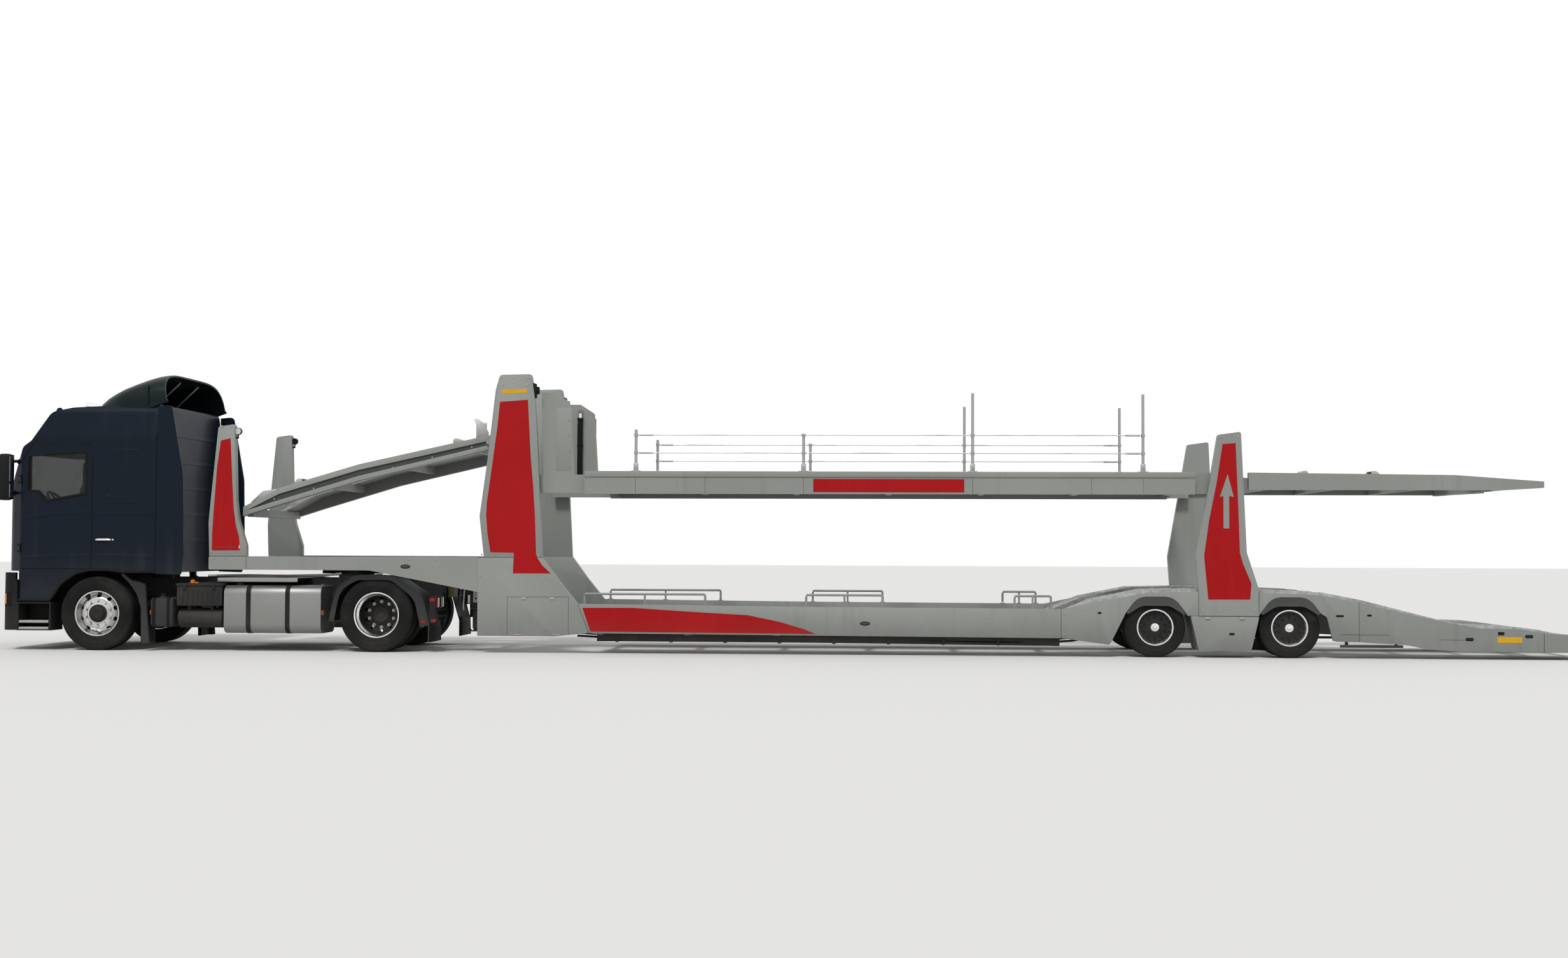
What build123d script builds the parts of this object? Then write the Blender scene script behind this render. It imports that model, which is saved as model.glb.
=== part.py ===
from build123d import *
import os
from math import cos, sin, tan, radians

# Articulated car transporter: a sleeper-cab tractor unit and a two-deck semi-trailer.
# Millimetres. +X points to the rear, +Y to the right-hand side, +Z up, ground at Z = 0.
# The tables below measure X from the front axle; everything is moved to the middle at the end.
overall_length = 20580
front_overhang = 1380
half_width = 1275
fit_gap = 0.3
move_gap = 5.0
rear_as_drawn = 19200


def aft(x):
    """A station behind the lower car bay: the rear of the trailer moves with the overall length."""
    return x + overall_length - front_overhang - rear_as_drawn


def aft_line(points):
    return [(aft(x), *rest) for x, *rest in points]


# Axles, X behind the front axle
drive_axle_x = 3690
kingpin_x = 3100
trailer_axle_x = (aft(13705), aft(15395))

# Tyres and rims
tractor_tyre_r = 480
trailer_tyre_r = 380
tractor_rim_r = 286
trailer_rim_r = 222
rim_lip = 12
bead_share = 0.78
front_tyre_width = 315
drive_tyre_width = 295
trailer_tyre_width = 212
twin_gap_drive = 40
twin_gap_trailer = 30
tractor_wheel_face = 1245
trailer_wheel_face = 1225
stub_r = 40
spindle_r = 60
running_gap = 0.06

# Tractor chassis
rail_out = 460
rail_in = 385
rail_bottom = 690
rail_top = 940
rail_front = -1050
rail_rear = 4420
steer_y = 925
cab_pivot = (-1270, 930)
cab_pivot_r = 30
coupler_z = 1048
kingpin_r = 25.4

# Cab
cab_half = 1240
cab_rear = 770
cab_bottom = 1010
cab_front_bottom = 1030
cab_wall = 45
floor_z = 1240
floor_thick = 40
door_front = -1035
door_rear = -85
glass = 8

# Trailer girders and decks
girder_in = 1185
arch_plate_in = 1235
inner_beam = (1030, 1130)
track_in = 430
neck_top = 1234
deck_bottom = 2060
deck_top = 2352
bay_end = aft(12510)
tail_x = aft(18540)
track_thick = 30


def block(x0, x1, y0, y1, z0, z1):
    """A box between its low and high limits."""
    middle = ((x0 + x1) / 2, (y0 + y1) / 2, (z0 + z1) / 2)
    return Pos(*middle) * Box(abs(x1 - x0), abs(y1 - y0), abs(z1 - z0))


def outline(points, radii):
    """A closed face with rounded corners; no corner takes more than its share of the edges beside it."""
    limited = []
    for before, here, after, r in zip(points[-1:] + points[:-1], points, points[1:] + points[:1], radii):
        come, go = Vector(*here) - Vector(*before), Vector(*after) - Vector(*here)
        half_turn = radians(come.get_angle(go)) / 2
        room = 0.48 * min(come.length, go.length)
        limited.append(min(r, room / tan(half_turn)) if r and half_turn > 0.005 else 0)
    return make_face(FilletPolyline(*points, radius=limited, close=True).edges())


def side_face(corners, y=0.0):
    """A face in a lengthwise plane; each corner is (x, z, corner radius)."""
    return outline([(x, y, z) for x, z, _ in corners], [r for *_, r in corners])


def plan_face(corners, z=0.0):
    """A face seen from above; each corner is (x, y, corner radius)."""
    return outline([(x, y, z) for x, y, _ in corners], [r for *_, r in corners])


def end_face(corners, x=0.0):
    """A face seen from the front; each corner is (y, z, corner radius)."""
    return outline([(x, y, z) for y, z, _ in corners], [r for *_, r in corners])


def side_plate(corners, y0, y1):
    """A plate with a lengthwise outline, from y0 to y1."""
    return extrude(side_face(corners, min(y0, y1)), amount=abs(y1 - y0), dir=(0, 1, 0))


def plan_plate(corners, z0, z1):
    """A plate whose outline is seen from above."""
    return extrude(plan_face(corners, z0), amount=z1 - z0, dir=(0, 0, 1))


def end_plate(corners, x0, x1):
    """A plate whose outline is seen from the front."""
    return extrude(end_face(corners, x0), amount=x1 - x0, dir=(1, 0, 0))


def ribbon(corners, thick, y0, y1):
    """A bent sheet of even height under a line of (x, z) points, from y0 to y1."""
    under = [(x, z - thick, 0) for x, z in reversed(corners)]
    return side_plate([(x, z, 0) for x, z in corners] + under, y0, y1)


def rod(x, z, y0, y1, r):
    """A round bar across the vehicle."""
    return Pos(x, (y0 + y1) / 2, z) * Rot(90, 0, 0) * Cylinder(r, abs(y1 - y0))


def upright(x, y, z0, z1, r):
    """A round bar standing up."""
    return Pos(x, y, (z0 + z1) / 2) * Cylinder(r, z1 - z0)


def lengthwise(x0, x1, y, z, r):
    """A round bar along the vehicle."""
    return Pos((x0 + x1) / 2, y, z) * Rot(0, 90, 0) * Cylinder(r, x1 - x0)


def turned(profile, x, z, side):
    """A solid of revolution about a crosswise axle; the profile is (distance outboard, radius)."""
    points = [(0, side * out, r) for out, r in profile]
    face = make_face(Polyline(*points, close=True).edges())
    return Pos(x, 0, z) * revolve(face, axis=Axis((0, 0, 0), (0, 1, 0)), revolution_arc=360)


def mirrored(shape):
    return mirror(shape, about=Plane.XZ)


def pair(shape):
    """The piece and its twin on the other side."""
    return [shape, mirrored(shape)]


nodes = {}


def keep(name, *solids):
    nodes[name] = [s for item in solids for s in (item if isinstance(item, (list, tuple)) else [item])]


# Wheels
tyre_flats = 26


def tyre(centre, width, tyre_r, rim_r, x, side):
    """A road tyre in flats: bead, bulged wall and crown. The bore's flats touch the round rim's clearance."""
    half = width / 2
    bead = half * bead_share
    wall_r = (tyre_r + rim_r) / 2 + 10
    bore_r = (rim_r + fit_gap) / cos(radians(180 / tyre_flats))
    profile = [(-bead, bore_r), (-bead, rim_r + rim_lip + 4), (-half, wall_r), (-half * 0.86, tyre_r),
               (half * 0.86, tyre_r), (half, wall_r), (bead, rim_r + rim_lip + 4), (bead, bore_r)]
    turns = [radians(270 + 360 * k / tyre_flats) for k in range(tyre_flats)]
    rings = [[Vector(x + r * cos(a), side * (centre + out), tyre_r + r * sin(a)) for out, r in profile]
             for a in turns]
    flats = []
    for one, two in zip(rings, rings[1:] + rings[:1]):
        for i in range(len(profile)):
            k = (i + 1) % len(profile)
            flats.append(Face(Wire.make_polygon([one[i], one[k], two[k], two[i]], close=True)))
    return Solid(Shell(flats))


def barrel(centre, width, rim_r, sheet=12):
    """Section of a rim barrel with its two flanges, as (outboard, radius) points."""
    seat = width / 2 * bead_share + fit_gap
    edge = seat + sheet
    return [(centre - seat, rim_r), (centre - seat, rim_r + rim_lip), (centre - edge, rim_r + rim_lip),
            (centre - edge, rim_r - sheet), (centre + edge, rim_r - sheet),
            (centre + edge, rim_r + rim_lip), (centre + seat, rim_r + rim_lip), (centre + seat, rim_r)]


def holes(x, z, ring_r, hole_r, count, y0, y1):
    turns = [radians(a * 360 / count) for a in range(count)]
    return [rod(x + ring_r * cos(a), z + ring_r * sin(a), y0, y1, hole_r) for a in turns]


def front_rim(side):
    """A bulged disc with hand holes, set towards the outer face, and a hub with a black cap."""
    centre = tractor_wheel_face - front_tyre_width / 2
    rim = turned(barrel(centre, front_tyre_width, tractor_rim_r), 0, tractor_tyre_r, side)
    disc = [(centre - 10, 276), (centre + 8, 276), (centre + 62, 225), (centre + 92, 175),
            (centre + 92, 110),
            (centre + 138, 100), (centre + 150, 70), (centre + 150, 0), (centre + 30, 0),
            (centre + 30, stub_r + running_gap),
            (centre - 60, stub_r + running_gap), (centre - 60, 130), (centre + 50, 140), (centre + 50, 170),
            (centre + 42, 214), (centre - 10, 262)]
    wheel = rim + turned(disc, 0, tractor_tyre_r, side)
    cut_from, cut_to = side * (centre - 20), side * (centre + 140)
    return wheel - holes(0, tractor_tyre_r, 206, 24, 10, min(cut_from, cut_to), max(cut_from, cut_to))


def twin_rims(x, z, outer, inner, width, rim_r, bore, bore_end, cap_out, disc_holes, side):
    """Two rims bolted disc to disc on one hub, which the axle's spindle enters as far as bore_end."""
    outer_rim = turned(barrel(outer, width, rim_r), x, z, side)
    inner_rim = turned(barrel(inner, width, rim_r), x, z, side)
    mid = (outer + inner) / 2
    hub_r = rim_r * 0.42
    web = [(mid - 30, rim_r - 4), (mid - 12, rim_r * 0.72), (mid - 12, hub_r), (inner - 20, hub_r),
           (inner - 20, bore + running_gap), (bore_end, bore + running_gap), (bore_end, 0),
           (cap_out, 0), (cap_out, hub_r * 0.62), (cap_out - 26, hub_r * 0.7), (cap_out - 26, hub_r),
           (mid + 12, hub_r), (mid + 12, rim_r * 0.72), (mid + 30, rim_r - 4)]
    bridge = [(mid - width / 2, rim_r - 12), (mid + width / 2, rim_r - 12), (mid + width / 2, rim_r - 2),
              (mid - width / 2, rim_r - 2)]
    wheel = outer_rim + inner_rim + turned(web, x, z, side) + turned(bridge, x, z, side)
    cut_a, cut_b = side * (mid - 40), side * (mid + 40)
    return wheel - holes(x, z, rim_r * 0.6, rim_r * 0.09, disc_holes, min(cut_a, cut_b), max(cut_a, cut_b))


drive_outer = tractor_wheel_face - drive_tyre_width / 2
drive_inner = drive_outer - drive_tyre_width - twin_gap_drive
trailer_outer = trailer_wheel_face - trailer_tyre_width / 2
trailer_inner = trailer_outer - trailer_tyre_width - twin_gap_trailer
front_centre = tractor_wheel_face - front_tyre_width / 2
drive_mid = (drive_outer + drive_inner) / 2
trim_r = trailer_rim_r - 11
trim_disc = [(trailer_outer + 50, trim_r), (trailer_outer + 62, trim_r), (trailer_outer + 60, trim_r - 30),
             (trailer_outer + 70, 100), (trailer_outer + 72, 0), (trailer_outer + 58, 0),
             (trailer_outer + 58, 100),
             (trailer_outer + 50, trim_r - 30)]

for word, side in (("left", -1), ("right", 1)):
    keep(f"tyre_front_{word}", tyre(front_centre, front_tyre_width, tractor_tyre_r, tractor_rim_r, 0, side))
    keep(f"rim_front_{word}", front_rim(side))
    keep(f"tyres_drive_{word}", [tyre(c, drive_tyre_width, tractor_tyre_r, tractor_rim_r, drive_axle_x, side)
                                 for c in (drive_outer, drive_inner)])
    keep(f"rims_drive_{word}", twin_rims(drive_axle_x, tractor_tyre_r, drive_outer, drive_inner,
                                         drive_tyre_width,
                                         tractor_rim_r, spindle_r, drive_mid + 10, drive_mid + 64, 10, side))
    for number, x in enumerate(trailer_axle_x, 1):
        keep(f"tyres_trailer_{number}_{word}", [tyre(c, trailer_tyre_width, trailer_tyre_r, trailer_rim_r,
                                                     x, side)
                                                for c in (trailer_outer, trailer_inner)])
        rims = twin_rims(x, trailer_tyre_r, trailer_outer, trailer_inner, trailer_tyre_width, trailer_rim_r,
                         spindle_r,
                         trailer_outer + 10, trailer_outer + 84, 10, side)
        keep(f"rims_trailer_{number}_{word}", rims + turned(trim_disc, x, trailer_tyre_r, side))


# Steered knuckles: kingpin, fork and stub axle
def knuckle(side):
    eye_bottom, eye_top = 415, 545
    pin = upright(0, steer_y, eye_bottom - 30, eye_top + 30, 25)
    lower = block(-40, 40, steer_y - 40, steer_y + 75, eye_bottom - 31, eye_bottom - 1)
    upper = block(-40, 40, steer_y - 40, steer_y + 75, eye_top + 1, eye_top + 31)
    post = block(-60, 60, steer_y + 50, steer_y + 75, eye_bottom - 31, eye_top + 31)
    stub = rod(0, tractor_tyre_r, steer_y + 60, front_centre + 25, stub_r)
    whole = pin + lower + upper + post + stub
    return whole if side > 0 else mirrored(whole)


keep("knuckle_left", knuckle(-1))
keep("knuckle_right", knuckle(1))


def front_axle():
    """A dropped beam with an eye at each end."""
    beam = block(-45, 45, -760, 760, 345, 445)
    riser = side_plate([(-45, 345, 0), (45, 345, 0), (45, 530, 0), (-45, 530, 0)], 760, 820)
    arm = block(-40, 40, 800, steer_y - 10, 440, 520)
    eye = upright(0, steer_y, 415, 545, 45)
    whole = beam + riser + mirrored(riser) + arm + mirrored(arm) + eye + mirrored(eye)
    bore = upright(0, steer_y, 400, 560, 25 + running_gap)
    return whole - bore - mirrored(bore)


keep("front_axle", front_axle())


def tractor_frame():
    """Two channel rails, crossmembers, and the ears that carry the cab pivot."""
    web, flange = 9, 10
    outer = [(rail_in, rail_bottom, 0), (rail_out, rail_bottom, 0), (rail_out, rail_top, 0),
             (rail_in, rail_top, 0),
             (rail_in, rail_top - flange, 0), (rail_out - web, rail_top - flange, 0),
             (rail_out - web, rail_bottom + flange, 0), (rail_in, rail_bottom + flange, 0)]
    rail = end_plate(outer, rail_front, rail_rear)
    ear = side_plate([(rail_front, 800, 0), (rail_front, 938, 0), (cab_pivot[0] + 20, 975, 30),
                      (cab_pivot[0] - 45, 975, 30),
                      (cab_pivot[0] - 45, 890, 30), (rail_front - 60, 800, 0)], rail_in + 5, rail_out)
    frame = rail + mirrored(rail) + ear + mirrored(ear)
    frame += block(rail_front, rail_front + 12, rail_in, rail_out, rail_bottom, rail_top)
    frame += block(rail_front, rail_front + 12, -rail_out, -rail_in, rail_bottom, rail_top)
    for x in (-980, 900, 1900, 2850, 4370):
        frame += block(x - 35, x + 35, -rail_out + 5, rail_out - 5, 745, 885)
    for y in (-455, 395):
        frame += block(640, 720, y, y + 60, rail_top - 5, floor_z - fit_gap)
    return frame - rod(cab_pivot[0], cab_pivot[1], -500, 500, cab_pivot_r + running_gap)


keep("tractor_frame", tractor_frame())

engine = block(-780, 520, -370, 370, 560, 1175)
for x in (-560, 300):
    engine += block(x, x + 100, -450, 450, rail_top + fit_gap, 985)
keep("engine_block", engine)


def leaf_spring():
    leaf = side_plate([(-790, 600, 20), (0, 445, 2500), (790, 600, 20), (790, 660, 20), (0, 505, 2500),
                       (-790, 660, 20)],
                      395, 455)
    saddle = block(-70, 70, 395, 455, 445 + fit_gap, 530)
    hangers = [block(x - 40, x + 40, 395, 455, 625, rail_bottom - fit_gap) for x in (-760, 760)]
    return leaf + saddle + hangers


def air_arm():
    """A beam under the drive axle with an air bellows at each end."""
    arm = block(drive_axle_x - 540, drive_axle_x + 540, 400, 480, 335, 410 - fit_gap)
    for x in (drive_axle_x - 430, drive_axle_x + 430):
        arm += upright(x, 440, 400, rail_bottom - fit_gap, 115)
    return arm


keep("tractor_suspension", pair(leaf_spring()), pair(air_arm()))

axle_z = tractor_tyre_r
housing = rod(drive_axle_x, axle_z, -600, 600, 70) + rod(drive_axle_x, axle_z, -130, 130, 195)
housing += rod(drive_axle_x, axle_z, -drive_mid, drive_mid, spindle_r)
housing += lengthwise(drive_axle_x - 380, drive_axle_x, 0, axle_z + 20, 90)
shaft = Solid.make_cylinder(48, 2880, Plane(origin=(530, 0, 690), z_dir=(2880, 0, -190)))
keep("drive_axle", housing + shaft)


def fifth_wheel():
    """The coupling plate with its open throat, on two pedestals."""
    plate = plan_plate([(kingpin_x - 400, -330, 120), (kingpin_x - 400, 330, 120),
                        (kingpin_x + 120, 480, 120),
                        (kingpin_x + 460, 330, 60), (kingpin_x + 460, 170, 20),
                        (kingpin_x + 130, kingpin_r + 1, 0),
                        (kingpin_x, kingpin_r + 1, 0), (kingpin_x, -kingpin_r - 1, 0),
                        (kingpin_x + 130, -kingpin_r - 1, 0),
                        (kingpin_x + 460, -170, 20), (kingpin_x + 460, -330, 60),
                        (kingpin_x + 120, -480, 120)],
                       coupler_z - 45, coupler_z)
    seat = upright(kingpin_x, 0, coupler_z - 60, coupler_z + 10, kingpin_r + running_gap)
    foot = block(kingpin_x - 120, kingpin_x + 120, rail_in, rail_out, rail_top + fit_gap, coupler_z - 40)
    return plate + foot + mirrored(foot) - seat


keep("fifth_wheel", fifth_wheel())


# Bumper, steps and lamps
tow_socket = dict(bore_r=14, boss_r=45, face=-1372, depth=80, z=480)
bumper_top = 905
bumper_bottom = 260


def bumper_band(z0, z1, grow=0.0):
    outer = [(-1050, -1262, 0), (-1225, -1250, 120), (-1380, -760, 300), (-1380, 760, 300),
             (-1225, 1250, 120), (-1050, 1262, 0)]
    inner = [(-1050, 1202, 0), (-1190, 1195, 80), (-1320, 740, 250), (-1320, -740, 250), (-1190, -1195, 80),
             (-1050, -1202, 0)]
    return plan_plate(outer + inner, z0, z1)


lamp_z = (560, 760)
lamp_box = block(-1400, -1120, 830, 1300, *lamp_z)
lamp_hole = block(-1400, -1120 + fit_gap, 830 - fit_gap, 1300, lamp_z[0] - fit_gap, lamp_z[1] + fit_gap)


def step_box(side):
    """The two-tread entry step between the bumper and the front wheel."""
    shell = block(-1050, -600, side * 880, side * 1262, 256, 628)
    pocket = block(-1028, -622, side * 920, side * 1300, 375, 606)
    low_pocket = block(-1028, -622, side * 1000, side * 1300, 290, 350)
    return shell - pocket - low_pocket


band = bumper_band(bumper_bottom, bumper_top)
bumper = band - lamp_hole - mirrored(lamp_hole)
corner = bumper_band(bumper_top, 1010) & block(-1240, -1075, 1060, 1262, bumper_top, 1010)
bumper = bumper + corner + mirrored(corner) + step_box(-1) + step_box(1)
bumper -= block(-1400, -1300, -95, 95, 400, 560)
bumper += block(-1335, -1320, -96, 96, 399, 561)
bumper += lengthwise(tow_socket["face"], tow_socket["face"] + tow_socket["depth"] + 15, 0, tow_socket["z"],
                     tow_socket["boss_r"])
bumper -= lengthwise(tow_socket["face"] - 1, tow_socket["face"] + tow_socket["depth"], 0, tow_socket["z"],
                     tow_socket["bore_r"])
stay = block(-1330, rail_front - fit_gap, rail_in, rail_out, 700, 790)
keep("front_bumper", bumper + stay + mirrored(stay))

tail_lamp = block(4400 + fit_gap, 4450, 760, 1080, 590, 700)
keep("tractor_lamps", pair(band & lamp_box), pair(tail_lamp))


def front_guard():
    """The rear half of the front wheel's arch: a skirt outside and a sheet behind the tyre."""
    shape = [(330, 985, 0), (430, 885, 200), (545, 740, 200), (600, 560, 200), (608, 100, 0),
             (712, 100, 20), (650, 870, 60),
             (470, 910, 100), (350, 1000, 0)]
    skirt = side_plate(shape, 1225, 1262)
    sheet = side_plate([(596, 640, 0), (608, 100, 0), (628, 100, 0), (616, 640, 0)], 860, 1262)
    hanger = block(600, 640, rail_out + fit_gap, 1240, 560, 600)
    hanger += block(600, 640, rail_out + fit_gap, rail_out + 20, 560, 760)
    return skirt + sheet + hanger


def drive_guard():
    """A sheet over the twin tyres, with a flap behind them."""
    outer = [(3080, 400, 0), (3150, 740, 160), (3430, 990, 260), (3880, 990, 260), (4270, 740, 200),
             (4388, 350, 60), (4388, 130, 0)]
    inner = [(4376, 130, 0), (4376, 350, 60), (4258, 734, 190), (3876, 978, 250), (3436, 978, 250),
             (3162, 736, 150), (3092, 400, 0)]
    hood = side_plate(outer + inner, 610, 1255)
    bar = block(3520, 3570, rail_out + fit_gap, 1200, 990, 1000)
    bar += block(3520, 3570, rail_out + fit_gap, rail_out + 12, 800, 1000)
    rear_bar = block(4388, 4400, rail_out + fit_gap, 1200, 600, 690)
    rear_bar += block(4388, 4400, rail_out + fit_gap, rail_out + 60, 600, 800)
    return hood + bar + rear_bar


keep("tractor_mudguards", pair(front_guard()), pair(drive_guard()))

# Tanks, boxes and their carriers
tank = dict(x0=1690, x1=2970, y0=590, y1=1258, z0=235, z1=855, corner=110)


def tank_form(x0, x1, grow):
    y0, y1, z0, z1 = tank["y0"] - grow, tank["y1"] + grow, tank["z0"] - grow, tank["z1"] + grow
    r = tank["corner"] + grow
    return end_plate([(y0, z0, r), (y1, z0, r), (y1, z1, r), (y0, z1, r)], x0, x1)


keep("fuel_tanks", pair(tank_form(tank["x0"], tank["x1"], 0)))
straps = []
for x in (1985, 2500):
    hoop = tank_form(x, x + 60, 4) - tank_form(x - 1, x + 61, fit_gap)
    bracket = block(x, x + 60, rail_out + fit_gap, tank["y0"] - 3, 500, 900)
    straps += pair(hoop + bracket)
keep("tank_straps", straps)

battery_box = block(1055, 1665, -1240, -rail_out - fit_gap, 585, 880)
small_box = block(700, 1015, -1235, -rail_out - fit_gap, 310, 710)
silencer = block(700, 1665, rail_out + fit_gap, 1235, 320, 860)
keep("side_boxes", battery_box, small_box, silencer)

reservoirs = []
for y in (-1090, -790):
    reservoir = lengthwise(1060, 1660, y, 425, 125)
    for x in (1180, 1480):
        reservoir += block(x, x + 40, y - 60, y + 60, 520, 585 - fit_gap)
    reservoirs.append(reservoir)
keep("air_tanks", reservoirs)


# Cab
side_line = [(-1330, cab_front_bottom, 20), (-1335, 1500, 900), (-1290, 1960, 300), (-1010, 2660, 120),
             (-900, 2740, 120),
             (-655, 3120, 160), (-380, 3178, 400), (650, 3230, 0), (cab_rear, 3225, 40),
             (cab_rear, cab_bottom, 0),
             (345, cab_bottom, 30), (150, 1035, 100), (-100, 1035, 100), (-270, 995, 120), (-480, 860, 150),
             (-625, 640, 60),
             (-1045, 640, 20), (-1050, cab_front_bottom, 0)]
cheek, nose_half, roof_half = cab_half - 160, cab_half - 680, cab_half - 70
plan_line = [(cab_rear, -cab_half, 20), (-1020, -cab_half, 60), (-1235, -cheek, 260),
             (-1335, -nose_half, 500), (-1335, nose_half, 500),
             (-1235, cheek, 260), (-1020, cab_half, 60), (cab_rear, cab_half, 20)]
front_line = [(-cab_half, 600, 0), (-cab_half, 2776, 300), (-roof_half, 3240, 170), (roof_half, 3240, 170),
              (cab_half, 2776, 300),
              (cab_half, 600, 0)]


def cab_form(inset):
    """The closed outer form of the cab, moved inwards by inset."""
    side = side_face(side_line, -1400)
    plan = plan_face(plan_line, 500)
    front = end_face(front_line, -1500)
    if inset:
        side, plan, front = (offset(f, amount=-inset, kind=Kind.INTERSECTION) for f in (side, plan, front))
    return (extrude(side, amount=2800, dir=(0, 1, 0)) & extrude(plan, amount=2900, dir=(0, 0, 1))
            & extrude(front, amount=2500, dir=(1, 0, 0)))


door_line = [(door_front, 1062, 30), (door_rear, 1062, 30), (door_rear, 2690, 40), (-880, 2690, 80),
             (door_front, 2440, 80)]
window_line = [(-940, 2090, 20), (-795, 2084, 60), (-680, 1960, 60), (-172, 2055, 30), (-178, 2590, 40),
               (-930, 2535, 40)]
cab_outer = cab_form(0)
cab_inner = cab_form(cab_wall)
screen_zone = (-1400, -940, cab_half - 150, 1960, 2650)


def screen_box(grow):
    x0, x1, y, z0, z1 = screen_zone
    return block(x0, x1, -y - grow, y + grow, z0 - grow, z1 + grow)


hinge = dict(heights=(1300, 2200), tall=60, lug=22, ring_r=14, pin_r=8)


def hinge_part(z0, z1, r):
    """A round piece on the right-hand door's hinge line."""
    return upright(door_front, cab_half, z0, z1, r)


def hinge_on_shell(shell, z):
    """Two lugs and a pin, with room for the door's ring between them."""
    low, high = z - hinge["lug"] - 1, z + hinge["tall"] + hinge["lug"] + 1
    shell -= hinge_part(z - 1, z + hinge["tall"] + 1, hinge["ring_r"] + move_gap)
    for z0, z1 in ((low, z - 1), (z + hinge["tall"] + 1, high)):
        shell += hinge_part(z0, z1, hinge["ring_r"])
        shell += block(door_front - 40, door_front - move_gap, cab_half - 40, cab_half - 2, z0, z1)
    return shell + hinge_part(low, high, hinge["pin_r"])


def hinge_on_door(door, z):
    """A ring round the shell's pin, with room for the lugs above and below it."""
    for z0, z1 in ((z - hinge["lug"] - 1 - move_gap, z),
                   (z + hinge["tall"], z + hinge["tall"] + hinge["lug"] + 1 + move_gap)):
        door -= hinge_part(z0, z1, hinge["ring_r"] + move_gap)
    door += hinge_part(z, z + hinge["tall"], hinge["ring_r"])
    return door - hinge_part(z - 1, z + hinge["tall"] + 1, hinge["pin_r"] + running_gap)


def cab_shell():
    above = block(-1500, 900, -1400, 1400, floor_z + floor_thick, 3400)
    below = block(-1500, 900, -1400, 1400, 500, floor_z)
    shell = cab_outer - (cab_inner & above) - (cab_inner & below)
    shell -= block(-1050, 720, -1195, 1195, 600, floor_z)
    hole = side_face(door_line, cab_half - 90)
    hole = extrude(offset(hole, amount=move_gap), amount=200, dir=(0, 1, 0))
    shell = shell - hole - mirrored(hole) - screen_box(fit_gap)
    for z in (1450, 1800, 2150, 2500, 2850):
        shell += block(cab_rear - 5, cab_rear + 14, -cheek, cheek, z - 25, z + 25)
    for z in hinge["heights"]:
        shell = mirrored(hinge_on_shell(mirrored(hinge_on_shell(shell, z)), z))
    arm = block(cab_pivot[0] - 10, cab_pivot[0] + 40, 290, 370, cab_pivot[1], floor_z + 10)
    tube = rod(cab_pivot[0], cab_pivot[1], -452, 452, cab_pivot_r)
    return shell + arm + mirrored(arm) + tube


keep("cab_shell", cab_shell())
keep("windscreen", (cab_form(10) - cab_form(10 + glass)) & screen_box(0))


def door():
    panel = (cab_outer - cab_inner) & side_plate(door_line, cab_half - 90, cab_half + 50)
    panel -= side_plate(window_line, cab_half - 120, cab_half + 60)
    for z in hinge["heights"]:
        panel = hinge_on_door(panel, z)
    return panel


left_door = mirrored(door())
keep("door_left", left_door)
keep("door_right", door())
pane = extrude(offset(side_face(window_line, cab_half - 26), amount=-fit_gap), amount=glass, dir=(0, 1, 0))
keep("door_glass_left", mirrored(pane))
keep("door_glass_right", pane)


def extender():
    """The side panel that carries the cab's line back towards the trailer."""
    fin = side_plate([(cab_rear + fit_gap, 1000, 0), (1110, 990, 30), (1140, 1300, 300), (1120, 2300, 400),
                      (960, 3205, 60),
                      (cab_rear + fit_gap, 3190, 0)], cab_half - 30, cab_half - 5)
    flange = block(cab_rear + fit_gap, cab_rear + 30, cab_half - 120, cab_half - 5, 1010, 3000)
    return fin + flange


keep("cab_side_extenders", pair(extender()))


def deflector():
    """A hollow air deflector on the roof, open at the back."""
    wide = cab_half - 80
    side_outer = side_plate([(-165, 3150, 10), (-100, 3290, 120), (235, 3490, 500), (640, 3645, 300),
                             (775, 3655, 20),
                             (905, 3232, 0), (cab_rear + 5, 3232, 0), (cab_rear - 20, 3150, 0)], -1200, 1200)
    roof_front = end_plate([(10 - wide, 3100, 0), (30 - wide, 3330, 200), (260 - wide, 3670, 260),
                            (wide - 260, 3670, 260), (wide - 30, 3330, 200), (wide - 10, 3100, 0)],
                           -300, 1000)
    plan = plan_plate([(-170, 340 - wide, 200), (250, -wide, 400), (1000, -wide, 0), (1000, wide, 0),
                       (250, wide, 400), (-170, wide - 340, 200)], 3000, 3800)
    body = side_outer & roof_front & plan
    hollow = side_plate([(-60, 3150, 0), (-60, 3260, 100), (245, 3458, 480), (635, 3611, 280),
                         (1000, 3625, 0), (1000, 3000, 0), (-60, 3000, 0)],
                        -1200, 1200)
    hollow &= end_plate([(45 - wide, 3000, 0), (60 - wide, 3320, 180), (275 - wide, 3636, 240),
                         (wide - 275, 3636, 240), (wide - 60, 3320, 180), (wide - 45, 3000, 0)], -300, 1100)
    hollow &= plan_plate([(-60, 370 - wide, 180), (255, 35 - wide, 380), (1100, 35 - wide, 0),
                          (1100, wide - 35, 0), (255, wide - 35, 380), (-60, wide - 370, 180)], 2900, 3900)
    return body - hollow - cab_form(-fit_gap)


keep("roof_deflector", deflector())

mirror_body = block(-1270, -1110, cab_half + 22, cab_half + 185, 1950, 2560)
mirror_body = fillet(mirror_body.edges().filter_by(Axis.Z), 40)
for x, z in ((-1200, 2050), (-1120, 2460)):
    mirror_body += block(x, x + 70, cab_half - 190, cab_half + 60, z - 18, z + 18) - cab_form(-fit_gap)
keep("mirrors", pair(mirror_body))


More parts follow.
